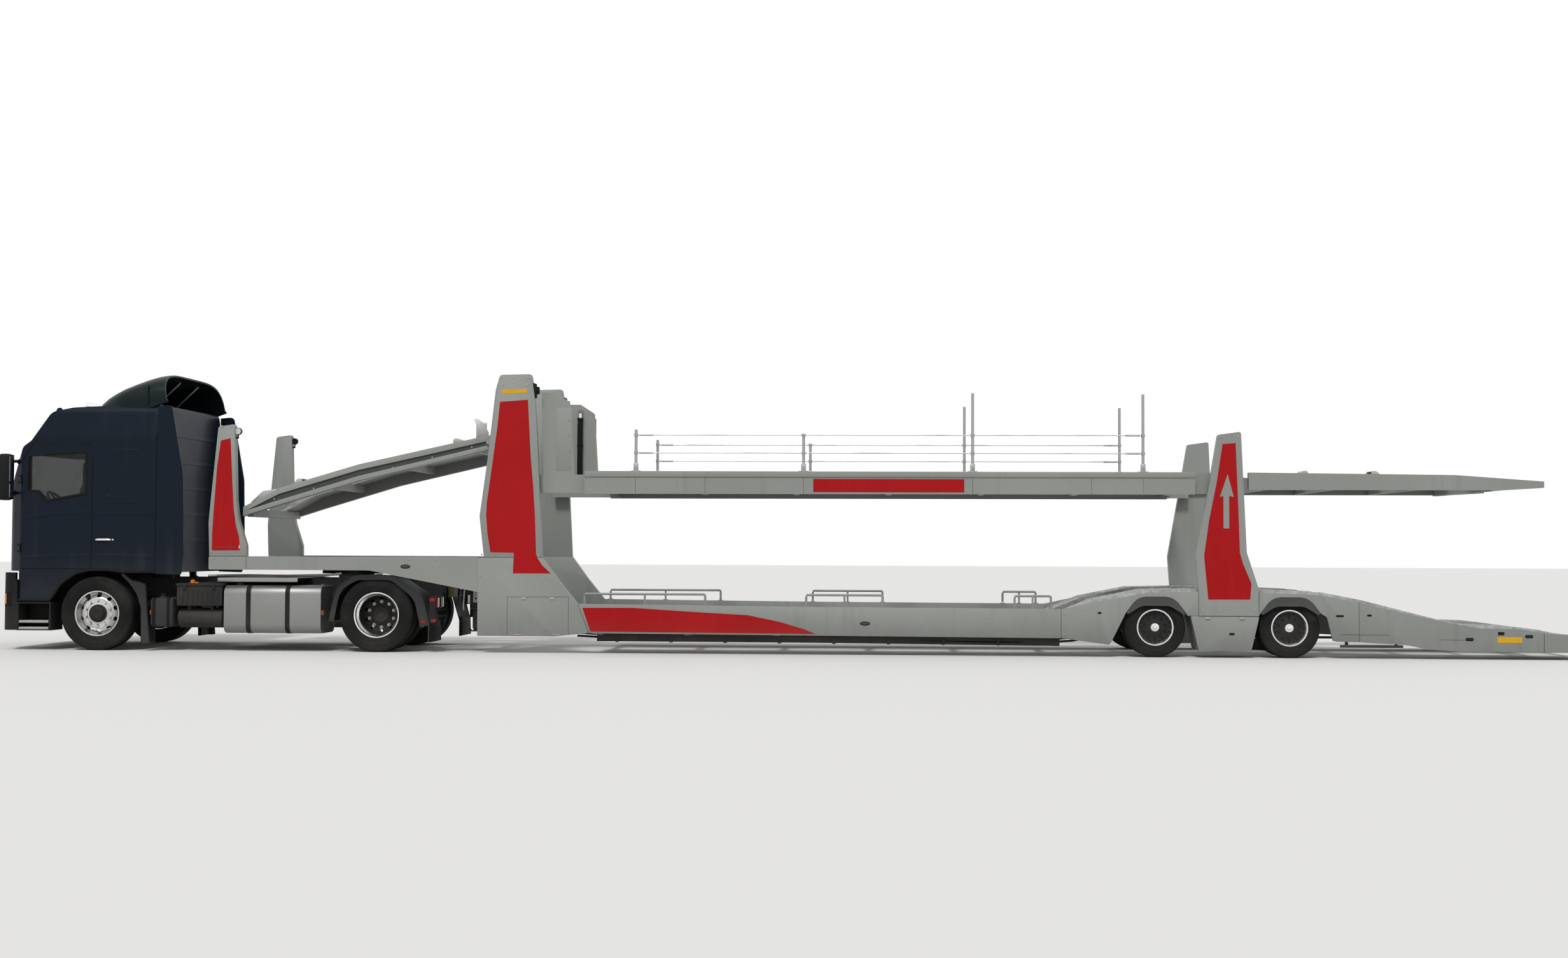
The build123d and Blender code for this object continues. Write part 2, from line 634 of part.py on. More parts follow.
def seat(y):
    base = block(-420, -60, y - 190, y + 190, floor_z + floor_thick + fit_gap, 1560)
    cushion = block(-500, 10, y - 250, y + 250, 1540, 1690)
    back = side_plate([(-110, 1600, 30), (20, 1600, 30), (130, 2240, 40), (30, 2260, 40)], y - 240, y + 240)
    head = side_plate([(30, 2200, 30), (130, 2200, 30), (150, 2430, 40), (60, 2440, 40)], y - 130, y + 130)
    return base + cushion + back + head


bunk = block(190, cab_rear - cab_wall - 10, 100 - cab_half, cab_half - 100, floor_z + floor_thick + fit_gap,
             1750)
keep("cab_seats", seat(cab_half / -2), seat(cab_half / 2), bunk)


def dashboard():
    body = side_plate([(-1230, 1284, 0), (-1010, 1284, 60), (-900, 1750, 80), (-960, 1900, 80),
                       (-1200, 1900, 20)], 120 - cab_half, cab_half - 120)
    body &= cab_form(cab_wall + fit_gap)
    column = Solid.make_cylinder(35, 230, Plane(origin=(-960, -cab_half / 2, 1760), z_dir=(170, 0, 150)))
    wheel_plane = Plane(origin=(-775, -cab_half / 2, 1918), z_dir=(170, 0, 150))
    rim = wheel_plane * Torus(215, 16)
    hub = wheel_plane * Cylinder(60, 40)
    spokes = wheel_plane * Box(420, 40, 14)
    return body + column + rim + hub + spokes


keep("dashboard", dashboard())


# Trailer neck
def neck():
    beam = side_plate([(1490, 1060, 20), (3600, 1058, 400), (5020, 787, 0), (5020, neck_top, 0),
                       (1490, neck_top, 20)],
                      girder_in, half_width)
    frame = beam + mirrored(beam)
    for x in (1540, 2300, 3900, 4500, 4920):
        frame += block(x - 45, x + 45, -girder_in - 5, girder_in + 5, 1090, 1190)
    for y in (-470, 470):
        frame += block(2300, 3900, y - 40, y + 40, 1060, 1190)
    frame += block(2640, 3640, -510, 510, coupler_z + fit_gap, coupler_z + 14)
    return frame + upright(kingpin_x, 0, coupler_z - 85, coupler_z + 5, kingpin_r)


keep("neck_frame", neck())

leg = block(4870, 4970, 780, 880, 300, 1090 - fit_gap) + block(4820, 5010, 740, 920, 260, 300)
keep("landing_legs", pair(leg))

seam = fit_gap
front_panel = [(5020, 222, 0), (6015, 221, 60), (6471, 263, 30), (6322, 636, 60), (6075, 940, 300),
               (5860, neck_top, 0), (5020, neck_top, 0)]
low_beam = [(6471 + seam, 263, 0), (bay_end - seam, 237, 0), (bay_end - seam, 606, 0), (9232, 615, 0),
            (6322 + seam, 638, 0)]
arch_line = [(-375, 570, 60), (-225, 772, 200), (225, 772, 200), (380, 570, 60)]
tower_foot = (aft(14245), aft(15002))
tower_foot_z = 531
tail_seam = aft(16250)
arch_front = [(bay_end, 237, 0), (aft(13112), 160, 0), (aft(13140), 185, 20),
              *[(trailer_axle_x[0] + x, z, r) for x, z, r in arch_line],
              (aft(14105), tower_foot_z, 0), (tower_foot[0] - seam, tower_foot_z, 0),
              (tower_foot[0] - seam, 835, 0),
              (aft(13680), 818, 400), (aft(12940), 700, 300), (bay_end, 606, 0)]
arch_rear = [(tower_foot[1] + seam, tower_foot_z, 0),
             *[(trailer_axle_x[1] + x, z, r) for x, z, r in arch_line],
             *aft_line([(15850, 525, 40), (15925, 225, 20), (15970, 215, 0)]), (tail_seam, 210, 0),
             (tail_seam, 712, 0),
             (aft(15780), 800, 400), (tower_foot[1] + seam, 831, 0)]
tail_beam = [(tail_seam + seam, 210, 0), *aft_line([(16830, 180, 60), (17100, 125, 100), (17510, 100, 0)]),
             (tail_x, 92, 0),
             (tail_x, 342, 0), *aft_line([(18220, 385, 200), (17750, 392, 400), (17087, 516, 300)]),
             (tail_seam + seam, 712, 0)]


def girders():
    solids = []
    for corners, inner in ((front_panel, girder_in), (low_beam, girder_in), (arch_front, arch_plate_in),
                           (arch_rear, arch_plate_in), (tail_beam, girder_in)):
        solids += pair(side_plate(corners, inner, half_width))
    return solids


locker = side_plate(aft_line([(14145, tower_foot_z - seam, 20), (14246, 90, 20), (14904, 91, 20),
                              (15008, tower_foot_z - seam, 20)]),
                    700, half_width - 5)
keep("trailer_side_frames", girders(), pair(locker))


bridge_x = (aft(13250), aft(14620), aft(16100))


def cross_frames():
    """The members that join the two sides: front wall, sleepers, bridge over the axles, tail."""
    solids = [block(5022, 5062, -girder_in + fit_gap, girder_in - fit_gap, 240, 1080)]
    for k in range(6):
        x = 6600 + (aft(12300) - 6600) * k / 5
        solids.append(block(x - 45, x + 45, -girder_in + fit_gap, girder_in - fit_gap, 240, 370 - fit_gap))
    bridge = block(aft(13250), aft(16150), 560, 640, 590, 670)
    bridge += mirrored(bridge)
    for x in bridge_x:
        bridge += block(x - 50, x + 50, -640, 640, 590, 670)
    solids.append(bridge)
    for x in (aft(17000), aft(17800), aft(18480)):
        solids.append(block(x - 40, x + 40, -girder_in + fit_gap, girder_in - fit_gap, 215, 300))
    return solids


keep("trailer_cross_frames", cross_frames())

track_line = [(6500, 400), *aft_line([(12250, 400), (12950, 690), (13600, 822), (14300, 838), (15000, 835),
                                      (15800, 800), (16300, 705),
                                      (17270, 460), (17700, 388), (18200, 380)]), (tail_x, 338)]
lower_track = ribbon(track_line, track_thick, track_in, girder_in - fit_gap)
for x, top in zip(bridge_x, (740, 815, 740)):
    lower_track += block(x - 30, x + 30, 570, 630, 670 + fit_gap, top)
keep("lower_tracks", pair(lower_track))


def tower(corners):
    return side_plate(corners, girder_in, half_width)


front_tower = tower([(1494, neck_top + fit_gap, 0), (1482, 1676, 400), (1500, 1892, 400), (1595, 2921, 30),
                     (1814, 2953, 30),
                     (1846, 1964, 400), (1880, 1700, 400), (1985, 1373, 100), (1989, neck_top + fit_gap, 0)])
keep("front_towers", pair(front_tower))
main_tower = tower([(5098, neck_top + fit_gap, 0), (5038, 1763, 200), (5134, 2487, 900), (5235, 3400, 200),
                    (5290, 3595, 40),
                    (5700, 3605, 40), (5746, 3277, 200), (5783, 2741, 900), (5821, 1922, 900),
                    (5858, neck_top + fit_gap, 0)])
keep("main_towers", pair(main_tower))
rear_tower = tower([(tower_foot[0], tower_foot_z, 0), (tower_foot[0], 850, 60),
                    *aft_line([(14217, 1271, 150), (14399, 2289, 900), (14492, 2829, 30), (14784, 2869, 30),
                               (14807, 2330, 400),
                               (14851, 1332, 200), (14998, 880, 60)]), (tower_foot[1], tower_foot_z, 0)])
rear_pivot = (aft(14985), 2220)
hinge_arm = side_plate(aft_line([(14500, 2140, 0), (15020, 2160, 40), (15030, 2280, 40), (14500, 2300, 0)]),
                       1140, girder_in + 2)
hinge_arm -= block(aft(14830), aft(15200), 1175 - move_gap, 1300, 2000, 2400)
keep("rear_towers", pair(rear_tower + hinge_arm))


def trailer_axle(x):
    """Axle tube with its spindles, trailing arms, hangers and air bellows."""
    tube = rod(x, trailer_tyre_r, -745, 745, 65)
    tube += rod(x, trailer_tyre_r, -trailer_outer, trailer_outer, spindle_r)
    for side in (-1, 1):
        tube += block(x - 420, x + 230, side * 570, side * 630, 400, 460)
        tube += block(x - 440, x - 360, side * 565, side * 635, 330, 590 - fit_gap)
        tube += upright(x + 170, side * 600, 450, 590 - fit_gap, 100)
    return tube


keep("trailer_axles", [trailer_axle(x) for x in trailer_axle_x])


def eyebrow(x):
    """A crescent of grey plastic that fills the top of the wheel arch."""
    edge = [(x + dx - fit_gap * dx / abs(dx), z - fit_gap, r) for dx, z, r in arch_line]
    inner = [(x + 350, 548, 0), (x + 180, 655, 200), (x - 180, 655, 200), (x - 345, 548, 0)]
    return side_plate(edge + inner, arch_plate_in + 3, half_width - 4)


keep("trailer_mudguards", [p for x in trailer_axle_x for p in pair(eyebrow(x))])


def beam_top(x):
    """Height of the lower beam's top edge at x."""
    (x0, z0), (x1, z1), (x2, z2) = [(x, z) for x, z, _ in low_beam[2:][::-1]]
    return z0 + (z1 - z0) * (x - x0) / (x1 - x0) if x < x1 else z1 + (z2 - z1) * (x - x1) / (x2 - x1)


def guard_rail(x0, x1):
    """A low rail on three posts that stand on the lower beam."""
    rail = block(x0, x1, 1205, 1245, 755, 785)
    for x in (x0, (x0 + x1) / 2 - 15, x1 - 30):
        feet = [(x, beam_top(x) + fit_gap, 0), (x + 30, beam_top(x + 30) + fit_gap, 0)]
        rail += side_plate(feet + [(x + 30, 770, 0), (x, 770, 0)], 1205, 1245)
    return rail


mid_rail = (9250 + aft(9250)) / 2
rail_runs = ((6390, 7980), (mid_rail, mid_rail + 1010), (aft(11910), aft(12400)))
keep("guard_rails", [p for x0, x1 in rail_runs for p in pair(guard_rail(x0, x1))])


# Upper decks
def deck_frame(beam, sleepers, sheet, y_beam, y_sheet):
    """Two side beams joined by sleepers, with a wheel track over them on each side."""
    side_beam = side_plate(beam, *y_beam)
    frame = side_beam + mirrored(side_beam)
    for x, z in sleepers:
        frame += block(x - 40, x + 40, -y_beam[0] - 5, y_beam[0] + 5, z - 100, z)
    track = ribbon(sheet, 20, track_in, y_sheet)
    return frame + track + mirrored(track)


front_sheet = [(1900, 1830), (2380, 2080), (3420, 2395), (5150, 2780)]
front_beam = [(1893, 1755, 0), (2355, 1902, 100), (3420, 2225, 400), (5180, 2640, 60), (5195, 2838, 60),
              (3420, 2440, 400), (2371, 2130, 100),
              (1893, 1880, 30)]
front_pivot = (5130, 2730)
deck_front = deck_frame(front_beam, ((1960, 1850), (2900, 2225), (3900, 2490), (4900, 2712)), front_sheet,
                        inner_beam, inner_beam[0] + 5)
pin = rod(front_pivot[0], front_pivot[1], inner_beam[1] - 5, girder_in - fit_gap, 35)
keep("deck_front", deck_front + pin + mirrored(pin))

deck_ends = (6400, aft(14205))
main_beam = [(deck_ends[0], deck_bottom, 0), (deck_ends[1], deck_bottom + 8, 0),
             (deck_ends[1], deck_top, 0), (deck_ends[0], deck_top, 0)]
main_sheet = [(x, 2220) for x in deck_ends]
sleeper_step = (deck_ends[1] - deck_ends[0] - 155) / 6
deck_main = deck_frame(main_beam, [(deck_ends[0] + 100 + sleeper_step * k, 2210) for k in range(7)],
                       main_sheet, (1175, half_width), 1180)
shoe_gap = 0.5
nose = block(5600, 6550, *inner_beam, 2070, 2310) + block(5620, 5780, inner_beam[1] - 5,
                                                          girder_in - shoe_gap, 2080, 2300)
stern = block(aft(14100), aft(14480), *inner_beam, 2080, 2350)
stern += block(aft(14425), aft(14480), inner_beam[1] - 5, girder_in - shoe_gap, 2090, 2340)
for piece in (nose, stern):
    deck_main += piece + mirrored(piece)
guide = side_plate([(5810, 2300, 0), (6240, 2300, 0), (6180, 3250, 40), (5980, 3380, 40), (5815, 3380, 20)],
                   inner_beam[0] + 60, inner_beam[1] - 20)
deck_main += guide + mirrored(guide)
keep("deck_main", deck_main)
cylinders = upright(5980, inner_beam[0] + 20, 2310 + fit_gap, 3300, 36)
keep("deck_cylinders", pair(cylinders))


def fence():
    """Four posts and two taut ropes."""
    first, last = 7060, aft(13555)
    posts = []
    for k, top in enumerate((2890, 2830, 3360, 3345)):
        x = first + (last - first) * k / 3
        posts.append(block(x - 22, x + 22, 1200, 1250, deck_top + fit_gap, top))
    ropes = [lengthwise(first, last, 1225, z, 9) for z in (2590, 2820)]
    whole = posts[0]
    for piece in posts[1:] + ropes:
        whole += piece
    return whole


keep("deck_main_posts", pair(fence()))

rear_beam = aft_line([(14880, 2130, 0), (18072, 2134, 100), (18560, 2165, 0), (18560, 2245, 0),
                      (17453, 2324, 200), (14880, 2350, 0)])
rear_sheet = aft_line([(15110, 2260), (17400, 2250), (18555, 2200)])
rear_sleepers = aft_line([(15150, 2240), (16000, 2240), (17000, 2235), (17900, 2220)])
deck_rear = deck_frame(rear_beam, rear_sleepers, rear_sheet, (1175, half_width), 1180)
pin = rod(rear_pivot[0], rear_pivot[1], 1125, 1180, 25)
keep("deck_rear", deck_rear + pin + mirrored(pin))
hinge_hole = rod(rear_pivot[0], rear_pivot[1], 1000, 1400, 25 + running_gap)
nodes["rear_towers"] = [t - hinge_hole - mirrored(hinge_hole) for t in nodes["rear_towers"]]

# Sliding rear extension
lamp_thick = 30
end_x = overall_length - front_overhang - lamp_thick
side_end = side_plate([(tail_x + move_gap, 92, 0), (end_x - 60, 95, 30), (end_x, 150, 20), (end_x, 285, 20),
                       (tail_x + move_gap, 340, 0)],
                      girder_in, half_width)
tongue = block(tail_x - 890, end_x - 50, 880, 980, 125, 215 - shoe_gap)
extension = side_end + mirrored(side_end) + tongue + mirrored(tongue)
extension += block(end_x - 90, end_x, -girder_in - 5, girder_in + 5, 100, 280)
extension += block(tail_x + 60, tail_x + 140, -girder_in - 5, girder_in + 5, 125, 280)
ramp = ribbon([(tail_x + move_gap, 334), (end_x, 285)], 25, track_in, girder_in + 5)
keep("rear_extension", extension + ramp + mirrored(ramp))
keep("trailer_lamps", pair(block(end_x + fit_gap, end_x + lamp_thick, 880, 1200, 140, 250)))

shift = Location((front_overhang - overall_length / 2, 0, 0))
os.makedirs("parts", exist_ok=True)
for name, solids in nodes.items():
    parts = [solid for shape in solids for solid in shape.solids()]
    whole = Compound(parts) if len(parts) > 1 else parts[0]
    export_step(whole.moved(shift), f"parts/{name}.step")
print(len(nodes), "nodes")
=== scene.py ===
# %% [markdown]
# # Dressing an articulated car transporter
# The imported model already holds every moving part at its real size. This lesson gives it its looks:
# paint, rubber, glass and polished metal, and the small pieces that a plain solid model leaves out.
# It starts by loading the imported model, which is the frame that everything else is fitted to.

# %% Load the frame
from math import atan2, cos, hypot, pi, radians, sin, tau

import bmesh
import bpy
from mathutils import Matrix, Vector
from mathutils.bvhtree import BVHTree


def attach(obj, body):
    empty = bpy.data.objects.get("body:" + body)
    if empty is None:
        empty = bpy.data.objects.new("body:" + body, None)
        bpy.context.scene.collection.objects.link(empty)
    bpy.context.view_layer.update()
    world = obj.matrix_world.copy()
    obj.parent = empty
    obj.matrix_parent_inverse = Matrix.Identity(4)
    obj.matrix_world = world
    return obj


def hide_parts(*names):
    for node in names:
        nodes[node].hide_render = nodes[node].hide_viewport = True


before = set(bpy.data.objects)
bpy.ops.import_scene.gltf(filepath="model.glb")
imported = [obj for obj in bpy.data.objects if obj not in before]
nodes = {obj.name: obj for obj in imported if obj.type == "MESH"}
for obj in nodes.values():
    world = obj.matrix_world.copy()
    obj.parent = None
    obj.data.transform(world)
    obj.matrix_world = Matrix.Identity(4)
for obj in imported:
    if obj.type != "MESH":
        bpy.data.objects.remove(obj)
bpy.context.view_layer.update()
scene = bpy.context.scene
FRONT_AXLE_X = -8.91
SIDE = {"left": -1, "right": 1}

# %% [markdown]
# ## The camera
# The view was worked out from the wheels' ground contacts and their known diameters: a camera 26 m away,
# a little above the axles, turned under three degrees towards the tractor. Its three axes are written
# out from yaw, pitch and roll, and its lens from the focal length in pixels of the 2464-pixel-wide frame.

# %% Camera at the photograph's viewing angle
PHOTO_WIDTH, FOCAL_PIXELS = 2464, 3065.2
yaw, pitch, roll = radians(-2.82), radians(1.99), radians(0.23)
ahead = Vector((sin(yaw) * cos(pitch), cos(yaw) * cos(pitch), sin(pitch)))
level = Vector((cos(yaw), -sin(yaw), 0))
above = level.cross(ahead)
across = level * cos(roll) + above * sin(roll)
upward = above * cos(roll) - level * sin(roll)
camera_data = bpy.data.cameras.new("photo_camera")
camera_data.sensor_width = 36
camera_data.lens = FOCAL_PIXELS / PHOTO_WIDTH * 36
camera_data.clip_end = 400
camera = bpy.data.objects.new("photo_camera", camera_data)
camera.matrix_world = Matrix.Translation((FRONT_AXLE_X + 10.207, -26.262, 1.385)) @ Matrix(
    (across, upward, -ahead)).transposed().to_4x4()
scene.collection.objects.link(camera)
scene.camera = camera
scene.view_settings.view_transform = "Standard"

# %% [markdown]
# ## Shader maths as Python
# Materials here are written as expressions. A small class wraps a node's socket, so that `mask * 0.2 + 0.4`
# adds the Math nodes that it needs. Any other node comes from one method, which sets the node's settings
# first and then links or fills its inputs.


# %% The expression class and the material maker
def maths(operation, swapped=False):
    """A method that adds a Math node; swapped puts the other side first."""
    def method(self, *others):
        items = (*others, self) if swapped else (self, *others)
        return self.maker.node("ShaderNodeMath", dict(operation=operation), *items)
    return method


class Value:
    """A socket that takes part in Python arithmetic."""

    def __init__(self, maker, socket):
        self.maker, self.socket = maker, socket

    __add__ = __radd__ = maths("ADD")
    __sub__ = maths("SUBTRACT")
    __rsub__ = maths("SUBTRACT", swapped=True)
    __mul__ = __rmul__ = maths("MULTIPLY")
    __truediv__ = maths("DIVIDE")
    __abs__ = maths("ABSOLUTE")
    fract = maths("FRACT")
    at_most = maths("MINIMUM")

    def step(self, low, high):
        """0 below low, 1 above high, and a smooth rise between them."""
        settings = dict(interpolation_type="SMOOTHSTEP")
        return self.maker.node("ShaderNodeMapRange", settings, self, low, high, 0.0, 1.0)


class Maker:
    """Builds one material on a Principled shader."""

    def __init__(self, name):
        self.material = bpy.data.materials.new(name)
        self.material.use_nodes = True
        self.tree = self.material.node_tree
        self.shader = self.tree.nodes["Principled BSDF"]
        place = self.node("ShaderNodeTexCoord", {}, output="Object")
        self.place = place
        split = self.tree.nodes.new("ShaderNodeSeparateXYZ")
        self.tree.links.new(place.socket, split.inputs[0])
        self.x, self.y, self.z = (Value(self, s) for s in split.outputs)

    def feed(self, socket, item):
        if isinstance(item, Value):
            self.tree.links.new(item.socket, socket)
        elif item is not None:
            socket.default_value = item

    def node(self, kind, settings, *items, output=0, **named):
        made = self.tree.nodes.new(kind)
        for key, setting in settings.items():
            setattr(made, key, setting)
        sockets = [s for s in made.inputs if s.enabled]
        for socket, item in zip(sockets, items):
            self.feed(socket, item)
        for key, item in named.items():
            self.feed(made.inputs[key.replace("_", " ")], item)
        return Value(self, made.outputs[output])

    def noise(self, scale, detail=3.0, stretch=(1, 1, 1), rough=0.5):
        """A noise value from 0 to 1 on object coordinates; stretch multiplies each axis."""
        place = self.place
        if stretch != (1, 1, 1):
            place = self.node("ShaderNodeVectorMath", dict(operation="MULTIPLY"), place, stretch)
        return self.node("ShaderNodeTexNoise", {}, Vector=place, Scale=scale, Detail=detail, Roughness=rough)

    def mix(self, factor, one, two):
        """A colour between one and two."""
        made = self.tree.nodes.new("ShaderNodeMix")
        made.data_type = "RGBA"
        self.feed(made.inputs[0], factor)
        for socket, item in ((made.inputs[6], one), (made.inputs[7], two)):
            self.feed(socket, item if isinstance(item, Value) else (*item, 1.0)[:4])
        return Value(self, made.outputs[2])

    def bump(self, height, distance, strength=1.0):
        return self.node("ShaderNodeBump", {}, Strength=strength, Distance=distance, Height=height)

    def finish(self, **sockets):
        """Links or sets the shader's own sockets; a name's underscores stand for spaces."""
        for key, item in sockets.items():
            if isinstance(item, tuple) and len(item) == 3:
                item = (*item, 1.0)
            self.feed(self.shader.inputs[key.replace("_", " ")], item)
        return self.material


# %% [markdown]
# ## Dust and weather
# A working lorry is never one flat colour. Road dust settles low on the body, rain leaves faint streaks
# down upright faces, and paint differs a little from place to place. These helpers give such masks, each
# from 0 to 1, so that every finish below can use them in its own measure.


# %% Masks for weather
def road_dust(m, top=1.1, bottom=0.1, amount=0.5):
    """More dust near the ground, broken up by noise."""
    low = 1.0 - m.z.step(bottom, top)
    return low * (m.noise(2.2, 5.0) * 1.3 - 0.15) * amount


def streaks(m, scale=9.0, amount=1.0):
    """Faint upright runs, as rain leaves them on side panels."""
    runs = m.noise(scale, 4.0, stretch=(1.0, 1.0, 0.07)).step(0.52, 0.74)
    return runs * m.noise(1.1, 2.0).step(0.35, 0.65) * amount


def scratches(m):
    """Thin lines in random directions, from the edges of stretched cells."""
    bent = m.node("ShaderNodeVectorMath", dict(operation="ADD"), m.place,
                  m.node("ShaderNodeTexNoise", {}, Vector=m.place, Scale=3.0, Detail=2.0, output=1))
    cells = m.node("ShaderNodeTexVoronoi", dict(feature="DISTANCE_TO_EDGE"), Vector=bent, Scale=5.2)
    return (1.0 - cells.step(0.0, 0.014)) * m.noise(4.0, 3.0).step(0.5, 0.62)


# %% [markdown]
# ## Painted finishes
# The cab wears a dark slate-blue metallic under clear coat. The trailer has a plainer warm grey coat,
# applied over rolled sheet that is never quite flat, so it also gets a long soft wave in its bump.

# %% Paints
DUST = (0.235, 0.215, 0.185)


def shade(colour, share):
    """The colour made darker or lighter."""
    return tuple(min(1, c * share) for c in colour)


def slate_paint():
    """Dark metallic paint under clear coat, with road dust low down."""
    m, base = Maker("slate_paint"), (0.0058, 0.0108, 0.0205)
    tone = m.mix(m.noise(0.7, 2.0), shade(base, 0.88), shade(base, 1.14))
    flake = m.noise(900.0, 1.0).step(0.62, 0.75)
    tone = m.mix(flake * 0.25, tone, shade(base, 2.4))
    dust = road_dust(m, 1.5, 0.4, 0.16) + streaks(m, 7.0, 0.05)
    rough = 0.34 + m.noise(5.0, 3.0) * 0.1 + dust * 0.6
    peel = m.bump(m.noise(160.0, 2.0), 0.0004, 0.25)
    return m.finish(Base_Color=m.mix(dust, tone, DUST), Roughness=rough, Metallic=0.1, Coat_Weight=0.07,
                    Coat_Roughness=0.12, Specular_IOR_Level=0.09, Normal=peel)


def trailer_paint():
    """Warm light grey on rolled sheet: a slow wave, rain streaks, scuffs and a few bright scratches."""
    m, base = Maker("trailer_paint"), (0.302, 0.316, 0.294)
    tone = m.mix(m.noise(0.55, 3.0).step(0.3, 0.7), shade(base, 0.94), shade(base, 1.05))
    marks = streaks(m, 10.0, 0.16) + road_dust(m, 0.75, 0.08, 0.42)
    scuff = m.noise(6.5, 6.0, rough=0.72).step(0.6, 0.72) * m.noise(0.9, 2.0).step(0.5, 0.6)
    tone = m.mix(marks + scuff * 0.14, tone, (0.1, 0.092, 0.078))
    lines = scratches(m)
    tone = m.mix(lines * 0.35, tone, (0.42, 0.41, 0.39))
    rough = 0.42 + m.noise(3.0, 3.0) * 0.12 + marks * 0.5
    sheet = m.noise(1.6, 1.0) * 1.0 + m.noise(120.0, 2.0) * 0.02
    return m.finish(Base_Color=tone, Roughness=rough, Metallic=0.0, Coat_Weight=0.05, Coat_Roughness=0.3,
                    Specular_IOR_Level=0.35, Normal=m.bump(sheet, 0.012, 0.35))


def red_sheet():
    """Red film on the towers and the side beam: even, half gloss, a little faded in patches."""
    m, base = Maker("red_sheet"), (0.43, 0.005, 0.007)
    tone = m.mix(m.noise(1.4, 3.0), shade(base, 0.9), tuple(min(1, c * 1.1 + 0.004) for c in base))
    marks = streaks(m, 14.0, 0.1) + road_dust(m, 0.6, 0.1, 0.3)
    return m.finish(Base_Color=m.mix(marks, tone, (0.18, 0.1, 0.08)),
                    Roughness=0.34 + m.noise(8.0, 3.0) * 0.14,
                    Metallic=0.0, Coat_Weight=0.04, Coat_Roughness=0.2, Specular_IOR_Level=0.12,
                    Normal=m.bump(m.noise(2.0, 1.0), 0.01, 0.2))


def plain_paint(name, base, rough, dust, metallic=0.0, grain=60.0, depth=0.0008):
    """Chassis paint or moulded plastic: one colour, grain in the bump and dust below."""
    m = Maker(name)
    tone = m.mix(m.noise(3.0, 4.0), shade(base, 0.8), shade(base, 1.2))
    cover = road_dust(m, 1.1, 0.1, dust) + m.noise(14.0, 4.0).step(0.58, 0.8) * dust * 0.3
    return m.finish(Base_Color=m.mix(cover, tone, DUST),
                    Roughness=rough + m.noise(11.0, 3.0) * 0.15 + cover * 0.3,
                    Metallic=metallic, Specular_IOR_Level=0.14,
                    Normal=m.bump(m.noise(grain, 3.0), depth, 0.6))


# %% [markdown]
# ## Bare metals
# Brushed alloy shows fine parallel lines, so its noise is stretched along one axis and feeds both the
# roughness and the bump. Galvanised decks show crystal patches, which are the cells of a Voronoi texture.

# %% Metals


def brushed(name, base=(0.62, 0.61, 0.58), stretch=(0.4, 30.0, 30.0), rough=0.3, dust=0.25):
    m = Maker(name)
    lines = m.noise(22.0, 5.0, stretch=stretch, rough=0.7)
    cloud = m.noise(2.4, 4.0)
    tone = m.mix(lines * 0.5 + cloud * 0.4, shade(base, 0.72), shade(base, 1.15))
    cover = road_dust(m, 0.9, 0.2, dust)
    return m.finish(Base_Color=m.mix(cover, tone, (0.3, 0.28, 0.24)),
                    Roughness=rough + lines * 0.16 + cover * 0.5,
                    Metallic=1.0 - cover * 0.8, Normal=m.bump(lines, 0.0006, 0.5))


def polished(name, base=(0.78, 0.78, 0.77), rough=0.14, dust=0.35):
    m = Maker(name)
    spots = m.noise(35.0, 5.0).step(0.55, 0.78)
    cover = m.noise(4.0, 5.0).step(0.35, 0.75) * dust + spots * 0.12
    return m.finish(Base_Color=m.mix(cover, base, (0.22, 0.2, 0.17)), Roughness=rough + cover * 0.7,
                    Metallic=1.0 - cover * 0.7, Normal=m.bump(m.noise(90.0, 2.0), 0.0003, 0.3))


def galvanised():
    """Zinc in crystal patches, rubbed darker along the track."""
    m, base = Maker("galvanised"), (0.5, 0.51, 0.5)
    cells = m.node("ShaderNodeTexVoronoi", dict(feature="F1"), Vector=m.place, Scale=30.0, output=1)
    grey = m.node("ShaderNodeSeparateColor", {}, cells)
    tone = m.mix(grey, shade(base, 0.78), shade(base, 1.12))
    rubbed = m.noise(5.0, 5.0, stretch=(0.25, 1.0, 1.0)).step(0.5, 0.75)
    tone = m.mix(rubbed * 0.45, tone, (0.13, 0.12, 0.105))
    return m.finish(Base_Color=tone, Roughness=0.4 + grey * 0.16 + rubbed * 0.2, Metallic=0.75 - rubbed * 0.5,
                    Normal=m.bump(m.noise(70.0, 3.0), 0.0008, 0.4))


# %% [markdown]
# ## Rubber, glass, lenses and cloth
# Tyre rubber is nearly black but reads grey outdoors because dust and wear scatter light, most of all on
# the tread. Window glass is thin and dark, so alpha lets the cab's inside show faintly behind it.

# %% Other finishes


def rubber():
    m = Maker("tyre_rubber")
    cloud = m.noise(6.0, 5.0)
    tone = m.mix(cloud, (0.0075, 0.008, 0.008), (0.015, 0.0155, 0.015))
    dust = m.noise(2.5, 5.0).step(0.4, 0.8) * 0.16 + (1.0 - m.z.step(0.02, 0.5)) * 0.1
    return m.finish(Base_Color=m.mix(dust, tone, (0.15, 0.14, 0.12)), Roughness=0.72 + cloud * 0.15,
                    Metallic=0.0, Specular_IOR_Level=0.12, Normal=m.bump(m.noise(220.0, 3.0), 0.0006, 0.5))


